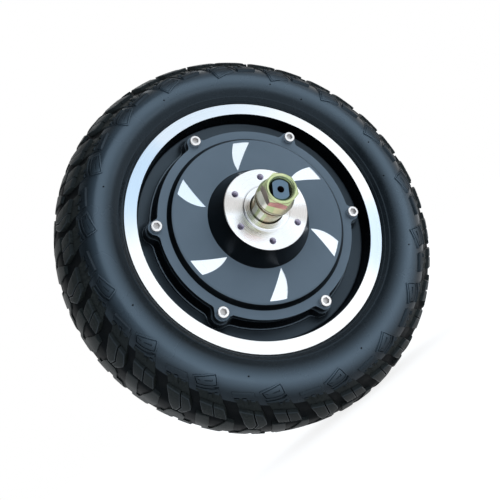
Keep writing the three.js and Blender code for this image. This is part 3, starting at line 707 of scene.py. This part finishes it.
SHORT_STEPS = [[(-4.3, 32), (-2.9, 31.7), (-2.7, 33), (-4.1, 33.3)],
               [(-1.9, 31), (-0.8, 30.8), (0.5, 35.4), (-0.5, 35.8)],
               [(0.7, 32.1), (2, 31.8), (2.2, 33.1), (0.9, 33.4)]]
LONG_STEPS = [[(6.1, 32.6), (7.4, 32.3), (7.6, 33.6), (6.3, 33.9)],
              [(9.3, 33), (10.3, 32.8), (11, 35.2), (9.7, 35.6)],
              [(10.9, 31.4), (12.2, 31.1), (12.5, 32.4), (11.2, 32.7)]]
TIES = [[(10.6, 47), (11.4, 47), (11.4, 49.2), (10.6, 49.2)],
        [(14.2, 47.2), (15, 47.2), (15.2, 49.4), (14.4, 49.4)]]


def block(outline, height, edge, marked=False, lit_edges=False):
    """A tread block, drawn flat: degrees run along x, the section along y and the height up z."""
    bm = bmesh.new()
    base = bm.faces.new([bm.verts.new((x * FLAT_SCALE, y, BLOCK_FOOT)) for x, y in outline])
    made = bmesh.ops.extrude_face_region(bm, geom=[base])
    top_verts = [part for part in made["geom"] if isinstance(part, bmesh.types.BMVert)]
    bmesh.ops.translate(bm, vec=(0, 0, height * BLOCK_RISE - BLOCK_FOOT), verts=top_verts)
    top = next(part for part in made["geom"] if isinstance(part, bmesh.types.BMFace))
    bmesh.ops.recalc_face_normals(bm, faces=bm.faces)
    # Where asked, the bevel's faces take the third material: a painted highlight on the block's edges
    bmesh.ops.bevel(bm, geom=list(top.edges), offset=edge, offset_type="OFFSET", segments=2, profile=0.5,
                    affect="EDGES", material=2 if lit_edges else -1)
    if marked:
        top = max(bm.faces, key=lambda face: face.calc_area() if face.normal.z > 0.9 else 0)
        for width, depth in ((0.25, 0), (0.35, -2.2), (0.35, 2.2), (2.1, 0), (0.25, -2)):
            bmesh.ops.inset_region(bm, faces=[top], thickness=width, depth=depth, use_even_offset=True)
    return bm


def wrapped(bm, turn):
    """Bends flat tread onto the tyre, starting at an angle round the axle."""
    for vert in bm.verts:
        radius, out = on_tyre(vert.co.y, vert.co.z / BLOCK_RISE)
        vert.co = polar(radius, vert.co.x / FLAT_SCALE + turn, out)
    return bm


def tyre_tread():
    """Blocks of one pitch, cut across so that they bend, and then repeated round both sides of the tyre."""
    blocks = [block(SHORT_RIM, 1, 0.35), block(SHORT_FLOOR, 0.3, 0.2), block(LONG_FLOOR, 0.3, 0.2),
              block(LONG_ISLAND, 1, 0.4, marked=True), block(LONG_RIM, 0.95, 0.35),
              block(CENTRE_NARROW, 1, 0.6), block(CENTRE_LEFT, 1, 0.6), block(CENTRE_RIGHT, 1, 0.6)]
    blocks += [block(outline, 1, 0.5, lit_edges=True) for outline in SHORT_CROWN + LONG_CROWN]
    blocks += [block(outline, 0.75, 0.25) for outline in SHORT_STEPS + LONG_STEPS]
    blocks += [block(outline, 0.4, 0.2) for outline in TIES]
    pitch = joined(blocks)
    for along in range(20, 72, BEND_STEP):
        bmesh.ops.bisect_plane(pitch, geom=[*pitch.verts, *pitch.edges, *pitch.faces],
                               plane_co=(0, along, 0), plane_no=(0, 1, 0))
    for degrees in range(-6, 21, BEND_STEP):
        bmesh.ops.bisect_plane(pitch, geom=[*pitch.verts, *pitch.edges, *pitch.faces],
                               plane_co=(degrees * FLAT_SCALE, 0, 0), plane_no=(1, 0, 0))
    near = joined([wrapped(pitch.copy(), TREAD_START + k * PITCH) for k in range(LUG_PAIRS)])
    pitch.free()
    far = copied(near, spun(FAR_TREAD_SHIFT) @ TURNED_ROUND)
    bm = joined([near, far])
    for face in bm.faces:
        if place_of(face.calc_center_median())[0] < SIDEWALL_END:
            face.material_index = 1
    finishes = [tread_rubber, sidewall_rubber, edge_highlight_rubber]
    piece("tyre_tread", bm, finishes, "wheel", ["tyre"], 30)


# Vent marks: degrees round in the pitch's frame, and distance along the section
VENTS = [(200, 17), (244.5, 16.5), (290.3, 17), (333, 18), (19.5, 18.5), (49, 13), (64, 18), (96.5, 13),
         (110.5, 17), (156, 17)]
VENT_RADIUS = 0.55


def tyre_vents():
    """Stubs of rubber left by the mould's vents, darker than the sidewall: painted shade."""
    stubs = []
    for degrees, along in VENTS:
        stub = bmesh.new()
        bmesh.ops.create_uvsphere(stub, u_segments=12, v_segments=8, radius=VENT_RADIUS)
        radius, out = on_tyre(along, 0)
        stubs.append(placed(stub, Matrix.Translation(polar(radius, degrees + TREAD_PHASE, out))))
    near = joined(stubs)
    far = copied(near, TURNED_ROUND)
    piece("tyre_vents", joined([near, far]), [vent_shade_rubber], "wheel", ["tyre"])


# Wheel casting

def casting_finish(radius, out, facing):
    if radius > RIM_OPENING and abs(facing) > 0.9 and abs(out) > RIM_HALF - 0.1:
        return 1
    # The ledge's top takes a lit copy of the paint: painted highlight
    if radius > HOUSING_RADIUS and facing > 0.6 and abs(out - WEB_FRONT - LEDGE_HEIGHT) < 0.1:
        return 3
    # Faces across the axle inside the recess take a lit copy of the paint: painted sheen
    return 2 if radius < FRONT_RECESS_RADIUS and abs(facing) > 0.7 else 0


def wheel_casting():
    barrel = [
        (RIM_OPENING, RIM_HALF, 0.2), (RIM_FLANGE, RIM_HALF, 0.15), (RIM_FLANGE, RIM_FLANGE_INSIDE, 0.6),
        (BEAD_SEAT, RIM_FLANGE_INSIDE, 0.8), (BEAD_SEAT, WELL_HALF, 0.8),
        (WELL_RADIUS, WELL_FLOOR_HALF, 0.8)]
    far_barrel = [(radius, -out, arc) for radius, out, arc in reversed(barrel)]
    ledge = HOUSING_RADIUS + LEDGE_WIDTH
    foot = HOUSING_FOOT + FOOT_LINE
    profile = barrel + far_barrel + [
        (RECESS_RADIUS, 0, 2), (ledge, 0, 0.2), (ledge, -LEDGE_HEIGHT, 0.3),
        (HOUSING_RADIUS, -LEDGE_HEIGHT, 0.3), (HOUSING_RADIUS, -HOUSING_HALF, 0.5),
        (MOTOR_BORE, -HOUSING_HALF), (MOTOR_BORE, HOUSING_HALF), (HOUSING_RADIUS, HOUSING_HALF, 0.4),
        (HOUSING_FOOT, WEB_FRONT + LEDGE_HEIGHT, 0.2), (foot, WEB_FRONT + LEDGE_HEIGHT, 0.2),
        (foot + 0.4, WEB_FRONT, 0.2), (FRONT_RECESS_RADIUS, WEB_FRONT + WEB_DISH, 1.6)]
    bm = turned(rounded(profile), WHEEL_STEPS * 2)
    swell(bm, HOUSING_RADIUS - 0.6, foot + 1, WEB_FRONT - 0.1, HOUSING_HALF + 0.1, CASTING_LUG, DRAFT_SHARE)
    placed(bm, TURNED_ROUND)
    swell(bm, HOUSING_RADIUS - 0.6, ledge + 0.6, -0.1, HOUSING_HALF + 0.1, CASTING_LUG)
    placed(bm, TURNED_ROUND)
    finishes = [casting_paint, rim_metal, sheen_lit_recess_paint, highlight_lit_ledge_paint]
    piece("wheel_casting_body", dressed(bm, casting_finish), finishes, "wheel", ["wheel_casting"])


# Covers

BLADE_OUTER = 56
BLADE_MIDDLE = 45.8
BLADE_TIP = 35.9
BLADE_TRAIL = -16.9
BLADE_LEAD = -5.0
BLADE_TRAIL_BOW = -9.9
BLADE_LEAD_BOW = -0.25
BLADE_STEPS = 10
BLADE_ARC_STEPS = 6


def flat_polar(radius, degrees):
    point = polar(radius, degrees)
    return Vector((point.x, point.z))


def bowed(start, middle, end):
    """Points of a curve through three places."""
    control = 2 * middle - (start + end) / 2
    shares = [step / BLADE_STEPS for step in range(BLADE_STEPS + 1)]
    return [(1 - t) ** 2 * start + 2 * t * (1 - t) * control + t * t * end for t in shares]


def blade_outline():
    width = BLADE_LEAD - BLADE_TRAIL
    wide = [flat_polar(BLADE_OUTER, BLADE_TRAIL + width * step / BLADE_ARC_STEPS)
            for step in range(BLADE_ARC_STEPS + 1)]
    tip = flat_polar(BLADE_TIP, 0)
    lead = bowed(wide[-1], flat_polar(BLADE_MIDDLE, BLADE_LEAD_BOW), tip)
    trail = bowed(tip, flat_polar(BLADE_MIDDLE, BLADE_TRAIL_BOW), wide[0])
    return [tuple(point) for point in [*wide, *lead[1:], *trail[1:-1]]]


def cover_finish(radius, out, facing):
    if out > HUB_FACE - 0.6 and radius < HUB_FACE_RADIUS + 0.3:
        return 1
    # The boss and the walls take the shaded copy of the paint, flat faces the lit copy: painted shade and
    # painted sheen
    if radius < BOSS_FOOT - 0.8 and out > COVER_TOP + 0.5:
        return 2
    return 0 if facing > 0.8 else 2


def mark_finish(radius, out, facing):
    # Screw holes take the shaded copy of the cover paint: painted shade
    if radius > DRUM_FOOT:
        return 2
    return 3 if radius > BOSS_FOOT else 4


def threaded_bore(centre):
    """A tapped hole in the disc face."""
    crests = []
    for turn in range(THREAD_TURNS):
        start = HUB_FACE - 0.5 - THREAD_PITCH * turn
        crests += [(DISC_HOLE, start), (DISC_HOLE - THREAD_DEPTH, start - THREAD_PITCH / 2)]
    bottom = HUB_FACE - DISC_HOLE_DEPTH
    mouth = DISC_HOLE + 0.15
    profile = [(0, HUB_FACE + 1), (mouth, HUB_FACE + 1), (mouth, HUB_FACE - 0.1), *crests,
               (DISC_HOLE - THREAD_DEPTH, bottom), (0, bottom - 1)]
    return placed(turned(profile, 24), Matrix.Translation(centre))


def motor_cover(side, disc_mount):
    inside = COVER_TOP - COVER_WALL
    spigot_end = COVER_FOOT - SPIGOT_DEPTH
    spigot = MOTOR_BORE - CLEARANCE
    lip = COLLAR_RADIUS + 0.5
    mouth = SEAL_BORE - 0.55
    over_seal = SEAL_END + 0.08
    profile = [
        (SEAL_BORE, SLEEVE_START), (SEAL_BORE, over_seal), (mouth, over_seal), (mouth, COLLAR_TOP, 0.08),
        (COLLAR_RADIUS, COLLAR_TOP, 0.7),
        (COLLAR_RADIUS, HUB_FACE - 0.25), (lip - 0.1, HUB_FACE - 0.25), (lip, HUB_FACE),
        (HUB_FACE_RADIUS, HUB_FACE), (BOSS_TOP, HUB_FACE - 0.5, 0.2), (BOSS_FOOT, COVER_TOP, 1.2),
        (DRUM_RADIUS + 0.5, COVER_TOP, 2), (DRUM_FOOT, FLANGE_TOP, 0.3),
        (HOUSING_RADIUS, FLANGE_TOP, 0.15), (HOUSING_RADIUS, COVER_FOOT, 0.3), (spigot, COVER_FOOT),
        (spigot, spigot_end), (spigot - 3, spigot_end), (spigot - 5, inside),
        (BOSS_FOOT - 4, inside), (24, BEARING_START), (BEARING_SEAT, BEARING_START),
        (BEARING_SEAT, SLEEVE_START)]
    bm = turned(rounded(profile), WHEEL_STEPS)
    swell(bm, HOUSING_RADIUS - 0.5, HOUSING_RADIUS + 0.1, COVER_FOOT - 0.1, FLANGE_TOP + 0.1, COVER_LUG)
    cutters = []
    for i in range(LUG_COUNT):
        blade = prism(blade_outline(), COVER_TOP - BLADE_DEPTH, COVER_TOP + 2)
        cutters.append(placed(blade, spun(BLADE_PHASE + LUG_ANGLE * i)))
        spot = polar(LUG_CIRCLE, SCREW_PHASE + LUG_ANGLE * i)
        cutters.append(bar(SCREW_SHANK + CLEARANCE, COVER_FOOT - 1, FLANGE_TOP + 1, spot))
        if disc_mount:
            cutters.append(threaded_bore(polar(DISC_CIRCLE, HOLE_PHASE + LUG_ANGLE * i)))
    finishes = [sheen_lit_cover_paint, disc_metal, shaded_cover_paint, blade_metal, thread_metal]
    bm = cut(dressed(bm, cover_finish), dressed(joined(cutters), mark_finish), finishes)
    if side == "rear":
        placed(bm, TURNED_ROUND)
    piece(f"{side}_cover_shell", bm, finishes, "wheel", [f"{side}_cover"])


# Fasteners

def hexagon(flats, phase):
    corner = flats / 2 / math.cos(math.pi / 6)
    return [tuple(flat_polar(corner, phase + 60 * i)) for i in range(6)]


SCREW_FINISHES = [stainless, socket_metal]


def cover_screw():
    """A socket head screw, standing on the axle's line: head up, shank down."""
    seat = FLANGE_TOP + CLEARANCE
    outline = [(0, SCREW_TOP), (SCREW_HEAD, SCREW_TOP, 0.5), (SCREW_HEAD, seat, 0.25), (SCREW_SHANK, seat),
               (SCREW_SHANK, SCREW_END + 0.5), (0, SCREW_END)]
    socket = prism(hexagon(SOCKET_FLATS, SOCKET_PHASE), SCREW_TOP - SOCKET_DEPTH, SCREW_TOP + 1)
    for face in socket.faces:
        face.material_index = 1
    return cut(turned(rounded(outline), SMALL_STEPS), socket, SCREW_FINISHES)


def cover_screws():
    screw = cover_screw()
    for i in range(LUG_COUNT):
        spot = polar(LUG_CIRCLE, SCREW_PHASE + LUG_ANGLE * i)
        own = spun(37 * i)
        for side, way in SIDES:
            bm = copied(screw, way @ Matrix.Translation(spot) @ own)
            name = f"cover_screw_{side}_{i + 1}"
            piece(f"{name}_detail", bm, SCREW_FINISHES, "wheel", [name], 30)
    screw.free()


def both_sides(name, make, materials, body, crease=32):
    for side, way in SIDES:
        bm = placed(make(), way)
        piece(f"{name}_{side}_detail", bm, materials, body, [f"{name}_{side}"], crease)


SLEEVE_FINISHES = [tan_zinc, green_zinc, highlight_zinc]
# Painted highlights and shade stripes round the sleeve and the nut's cone, over the plating's own colours,
# as (up to degrees, place in the list)
SLEEVE_HIGHLIGHTS_AND_SHADE = [(160, 0), (178, 2), (190, 1), (204, 2), (216, 1), (360, 0)]
CONE_HIGHLIGHTS_AND_SHADE = [(70, 1), (140, 0), (196, 5), (222, 0), (360, 1)]


def spacer_sleeve():
    flare_start = SLEEVE_END - 2 * FLARE_LENGTH
    # Bands round the sleeve are painted highlights and shade stripes
    return streaked(turned(rounded([
        (STACK_BORE, SLEEVE_START), (SLEEVE_RADIUS, SLEEVE_START, 0.3), (SLEEVE_RADIUS, flare_start, 0.5),
        (FLARE_RADIUS, flare_start + FLARE_LENGTH, 0.5), (FLARE_RADIUS, SLEEVE_END, 0.6),
        (STACK_BORE, SLEEVE_END)])), SLEEVE_HIGHLIGHTS_AND_SHADE)


def gap_shade_finish(radius, out, facing):
    # Faces across the axle, where the washers meet, take the dark zinc: painted shade
    return int(abs(facing) > 0.55)


def flat_washer():
    return dressed(turned(rounded([
        (STACK_BORE, WASHER_START), (WASHER_RADIUS, WASHER_START, 0.9), (WASHER_RADIUS, WASHER_END, 0.9),
        (STACK_BORE, WASHER_END)])), gap_shade_finish)


def lock_washer():
    """A spring washer with its split."""
    bm = turned(rounded([
        (STACK_BORE, LOCK_START), (LOCK_RADIUS, LOCK_START, 0.85), (LOCK_RADIUS, LOCK_END, 0.85),
        (STACK_BORE, LOCK_END)]))
    half = SPLIT_WIDTH / 2
    slit = prism([(5, -half), (15, -half), (15, half), (5, half)], LOCK_START - 1, LOCK_END + 1)
    return cut(dressed(bm, gap_shade_finish), slit, [cream_zinc, gap_shade_zinc])


def hex_radius(degrees):
    """Radius of the nut's hexagon at an angle; its corners are at the nut's phase."""
    off = (degrees - NUT_PHASE) % 60 - 30
    return NUT_FLATS / 2 / math.cos(math.radians(off))


NUT_FINISHES = [green_zinc, cream_zinc, pink_zinc, brown_zinc, gold_zinc, highlight_zinc]
# Finish of each flat, starting from the one past the corner at the nut's phase: partly the plating's hues,
# partly painted light and shade by which way the flat faces
FLAT_PLATING_AND_SHADE = [0, 4, 3, 2, 0, 3]


def axle_nut():
    """A flanged hexagon nut: a turned blank whose wall starts well outside and is pulled to the hexagon."""
    wall = 30
    rows = [0, 0.15, 0.35, 0.8, 1.6, 2.6, 3.6, 4.4, 4.8, 5.1, 5.4, 5.7, 5.9, 6.1, 6.3, 6.4]
    top = NUT_TOP
    profile = [(STACK_BORE, NUT_START), (NUT_RADIUS - 0.6, NUT_START), (NUT_RADIUS - 0.2, NUT_START + 0.12),
               (NUT_RADIUS, NUT_START + 0.4), (NUT_RADIUS - 0.2, NUT_START + 0.8),
               (NUT_NECK + 1.2, NUT_CONE_END - 2.2), (NUT_NECK + 0.15, NUT_CONE_END - 0.3),
               (NUT_NECK, NUT_CONE_END)]
    profile += [(wall, NUT_CONE_END + row) for row in rows]
    for step in range(9):
        angle = math.pi * step / 8
        rise = CROWN_ARC * math.sin(angle)
        profile.append((CROWN_RADIUS + CROWN_ARC * math.cos(angle), top - CROWN_ARC + rise))
    profile += [(STACK_BORE + 0.25, top - 1.8), (STACK_BORE, top - 2.2)]
    bm = turned(profile, AXLE_STEPS)
    for vert in bm.verts:
        radius, angle = place_of(vert.co)
        if radius < wall - 1:
            continue
        out = -vert.co.y
        under = 11 + (out - NUT_CONE_END) * 1.8
        over = CROWN_RADIUS + CROWN_ARC + (top - CROWN_ARC - out) * 1.15
        pull(vert, min(hex_radius(angle), under, over) / radius)
    bmesh.ops.recalc_face_normals(bm, faces=bm.faces)
    # Bands round the nut's cone and flange are painted highlights and shade stripes
    streaked(bm, CONE_HIGHLIGHTS_AND_SHADE)
    for face in bm.faces:
        centre = face.calc_center_median()
        radius, angle = place_of(centre)
        if -centre.y > NUT_CONE_END:
            on_flat = abs(face.normal.y) < 0.2 and radius > NUT_NECK
            face.material_index = FLAT_PLATING_AND_SHADE[int((angle - NUT_PHASE) % 360 // 60)] if on_flat else 0
    return bm


# Steps of the axle, as radii and distances out
JOURNAL = 7.2
JOURNAL_END = 45.5
SHOULDER = 10.1
CORE_SEAT = 11
CORE_END = 28
END_CHAMFER = 0.7


def axle_shaft():
    """The axle with its steps, its end hole, its cable bore and two flats at each end."""
    edge = AXLE_HALF - END_CHAMFER
    end = AXLE_RADIUS - END_CHAMFER
    steps = [(AXLE_RADIUS, JOURNAL_END), (JOURNAL, JOURNAL_END), (JOURNAL, BEARING_START),
             (SHOULDER, BEARING_START), (SHOULDER, CORE_END), (CORE_SEAT, CORE_END)]
    front = [(0, AXLE_HALF - 5), (1.5, AXLE_HALF - 5), (1.6, AXLE_HALF - 0.9), (2.2, AXLE_HALF, 0.1),
             (end, AXLE_HALF, 0.15), (AXLE_RADIUS, edge, 0.2), *steps]
    rear = [*((radius, -out) for radius, out in reversed(steps)), (AXLE_RADIUS, -edge, 0.2),
            (end, -AXLE_HALF, 0.15), (3.6, -AXLE_HALF, 0.3), (3.6, 20 - AXLE_HALF), (0, 20 - AXLE_HALF)]
    bm = turned(rounded(front + rear), AXLE_STEPS)
    across = polar(1, FLAT_PHASE)
    for vert in bm.verts:
        if abs(vert.co.y) > AXLE_FLAT_START:
            reach = vert.co.dot(across)
            if abs(reach) > AXLE_FLAT:
                vert.co -= across * (reach - math.copysign(AXLE_FLAT, reach))
    dressed(bm, lambda radius, out, facing: int(radius < 2 and out < AXLE_HALF - 0.3 and out > 0))
    piece("axle_shaft_detail", bm, [axle_metal, hole_shade], "axle", ["axle_shaft"], 30)


def dust_seal():
    inside = SLEEVE_RADIUS + CLEARANCE
    middle = (inside + SEAL_RADIUS) / 2
    return turned(rounded([
        (inside, SEAL_START), (SEAL_RADIUS, SEAL_START), (SEAL_RADIUS, SEAL_END, 0.2),
        (middle, SEAL_END - 0.4, 0.1), (inside, SEAL_END - 0.1, 0.1)]))


# Valve, whose stem stands on its circle and points away from the brake side

VALVE_CIRCLE = 71.75
VALVE_OUT = -4.75
VALVE_THREADS = 14
VALVE_PITCH = 1.1


def radial(bm):
    """Turns a piece made on the axle's line so that it stands out along +X at the valve's place."""
    return placed(bm, Matrix.Translation((0, -VALVE_OUT, 0)) @ Matrix.Rotation(math.pi / 2, 4, "Z"))


def valve_stem():
    """A foot in the rim, a neck and an elbow, and a threaded stem."""
    foot = turned(rounded([(0, 79.9), (5.1, 79.9, 0.4), (5.1, 82.2, 0.6), (0, 82.3)]), SMALL_STEPS)
    neck = turned(rounded([(0, VALVE_CIRCLE), (3.1, VALVE_CIRCLE), (3.1, 75.8), (3.1, 80.2), (0, 80.2)]),
                  SMALL_STEPS)
    parts = [radial(foot), radial(neck)]
    elbow = bmesh.new()
    bmesh.ops.create_uvsphere(elbow, u_segments=32, v_segments=20, radius=3.4)
    parts.append(placed(elbow, Matrix.Translation((VALVE_CIRCLE, -VALVE_OUT, 0))))
    threads = []
    for i in range(VALVE_THREADS):
        start = 8.6 + VALVE_PITCH * i
        threads += [(2.6, start), (2.35, start + VALVE_PITCH / 2)]
    stem = [(0, -VALVE_OUT), (3, -VALVE_OUT), (3, 8, 0.3), *threads, (2.3, 24.6), (1.9, 25), (0, 25)]
    bm = turned(rounded(stem), SMALL_STEPS)
    parts.append(placed(bm, Matrix.Translation((VALVE_CIRCLE, 0, 0)) @ TURNED_ROUND))
    bm = placed(joined(parts), spun(VALVE_PHASE))
    piece("valve_stem_detail", bm, [brass], "wheel", ["valve_stem"], 35)


CAP_GROOVES = 20
CAP_GROOVE = 0.05


def valve_cap():
    """A cap with grip grooves round it."""
    cap = [(0, 25.3), (2.9, 25.3), (2.9, 20.1), (3.2, 20.1, 0.1), (3.65, 20.6, 0.2), (3.65, 27, 0.4),
           (3, 28, 0.5), (0, 28)]
    bm = turned(rounded(cap), 60)
    for vert in bm.verts:
        radius, angle = place_of(vert.co)
        if radius > 3.6:
            wave = math.cos(math.radians(CAP_GROOVES * angle))
            pull(vert, 1 - CAP_GROOVE * (0.5 - 0.5 * wave))
    bm = placed(bm, spun(VALVE_PHASE) @ Matrix.Translation((VALVE_CIRCLE, 0, 0)) @ TURNED_ROUND)
    piece("valve_cap_detail", bm, [cap_plastic], "wheel", ["valve_cap"], 40)


# Cable grommet in the rear end of the axle

def cable_grommet():
    end = AXLE_HALF
    profile = [(0, end - 1.4), (1.2, end - 1.2, 0.3), (2.2, end - 0.3, 0.3), (3.3, end - 0.3, 0.4),
               (3.3, end - 12), (0, end - 12)]
    bm = placed(turned(rounded(profile), SMALL_STEPS), TURNED_ROUND)
    piece("cable_grommet_detail", bm, [seal_rubber], "axle", ["cable_grommet"])


def dress_inside():
    """Finishes of the pieces inside the motor, whose shapes are the frame's own."""
    finishes = {
        "rotor_ring": rotor_metal, "magnet_ring": magnet_metal, "stator_core": core_sheets,
        "stator_windings": copper_wire, "stator_carrier": carrier_metal, "stator_key": axle_metal,
        "sensor_board": board_lacquer}
    for side in ("front", "rear"):
        finishes[f"cover_gasket_{side}"] = seal_rubber
        for part in ("outer_race", "ball_ring", "inner_race"):
            finishes[f"bearing_{part}_{side}"] = bearing_metal
    for name, material in finishes.items():
        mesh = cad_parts[name].data
        mesh.materials.clear()
        mesh.materials.append(material)


# Build

tyre_casing()
tyre_tread()
tyre_vents()
wheel_casting()
motor_cover("front", True)
motor_cover("rear", False)
cover_screws()
both_sides("spacer_sleeve", spacer_sleeve, SLEEVE_FINISHES, "axle")
both_sides("flat_washer", flat_washer, [tan_zinc, gap_shade_zinc], "axle")
both_sides("lock_washer", lock_washer, [cream_zinc, gap_shade_zinc], "axle")
both_sides("axle_nut", axle_nut, NUT_FINISHES, "axle", 24)
both_sides("dust_seal", dust_seal, [seal_rubber], "wheel")
axle_shaft()
valve_stem()
valve_cap()
cable_grommet()
dress_inside()


# Camera

def aim(position, look, roll=0.0):
    """A camera or lamp's place: it looks along a direction, its top rolled towards its right."""
    ahead = Vector(look).normalized()
    side = ahead.cross(Vector((0, 0, 1))).normalized()
    top = side.cross(ahead)
    up = top * math.cos(roll) + side * math.sin(roll)
    right = ahead.cross(up)
    turn = Matrix((right, up, -ahead)).transposed().to_4x4()
    return Matrix.Translation(position) @ turn


CAMERA_PLACE = Vector((-192.00, -431.07, -67.33)) * MM
CAMERA_LOOK = Vector((0.4027, 0.8881, 0.2217))
CAMERA_ROLL = math.radians(35.26)
lens = bpy.data.cameras.new("camera")
lens.lens = 48.82
lens.sensor_width = 36
lens.shift_x = 0.0634
lens.shift_y = -0.1276
lens.clip_start = 0.01
camera = shown("camera", lens)
camera.matrix_world = aim(CAMERA_PLACE, CAMERA_LOOK, CAMERA_ROLL)
bpy.context.scene.camera = camera


# Stage and light

def lamp(name, place, radius, radiance, color=(1, 1, 1)):
    """A round soft box, aimed at the hub. Its place is given as metres right, up and towards the viewer."""
    data = bpy.data.lights.new(name, "AREA")
    data.shape = "DISK"
    data.size = 2 * radius
    data.energy = radiance * math.pi * math.pi * radius ** 2
    data.color = color
    spot = camera.matrix_world.to_3x3() @ Vector(place)
    shown(name, data).matrix_world = aim(spot, -spot)


lamp("sky_box", (0.51, 0.94, 0.75), 0.69, 1.13, (0.92, 0.97, 1))
lamp("fill_box", (-1.1, -0.2, 0.8), 0.4, 0.9, (0.95, 0.98, 1))
lamp("rear_box", (-0.4, 1.0, -0.9), 0.5, 1.0, (0.95, 0.98, 1))


def seen_directly(graph):
    """One where the camera, a reflection or a clear material sees the surface."""
    path = graph.add("LightPath").outputs
    mirrored = graph.maths("MAXIMUM", path["Is Glossy Ray"], path["Is Transmission Ray"])
    return graph.maths("MAXIMUM", path["Is Camera Ray"], mirrored)


card = Finish("floor_card", tone(156, 158, 160), 0.9, Specular_IOR_Level=0.0, Emission_Color=(1, 1, 1))
card.set("Emission Strength", card.maths("MULTIPLY", seen_directly(card), 0.84))
floor_shape = bmesh.new()
bmesh.ops.create_grid(floor_shape, x_segments=1, y_segments=1, size=30)
bmesh.ops.translate(floor_shape, vec=(0, 0, cad_box[0][2]), verts=floor_shape.verts)
floor = meshed("floor", floor_shape, [card.material])

# The world is white to the camera. Reflections see it white behind the wheel and dim behind the camera.
world = bpy.data.worlds.new("studio")
world.use_nodes = True
bpy.context.scene.world = world
sky = Graph(world.node_tree)
path = sky.add("LightPath").outputs
way = sky.add("VectorMath", {0: sky.add("TexCoord").outputs["Generated"], 1: tuple(CAMERA_LOOK)},
              operation="DOT_PRODUCT").outputs["Value"]
room = sky.blend(sky.span(way, 0, 1, -0.4, 0.5), tone(56, 63, 70), (1, 1, 1))
ambient = sky.add("Background", {"Color": tone(240, 247, 255), "Strength": 0.79})
mirrored = sky.add("Background", {"Color": room})
white = sky.add("Background", {"Color": (1, 1, 1)})
glossy = sky.maths("MAXIMUM", path["Is Glossy Ray"], path["Is Transmission Ray"])
first = sky.add("MixShader", {0: glossy, 1: ambient.outputs[0], 2: mirrored.outputs[0]})
both = sky.add("MixShader", {0: path["Is Camera Ray"], 1: first.outputs[0], 2: white.outputs[0]})
sky.feed(both.outputs[0], world.node_tree.nodes["World Output"].inputs["Surface"])

bpy.context.scene.view_settings.view_transform = "Standard"
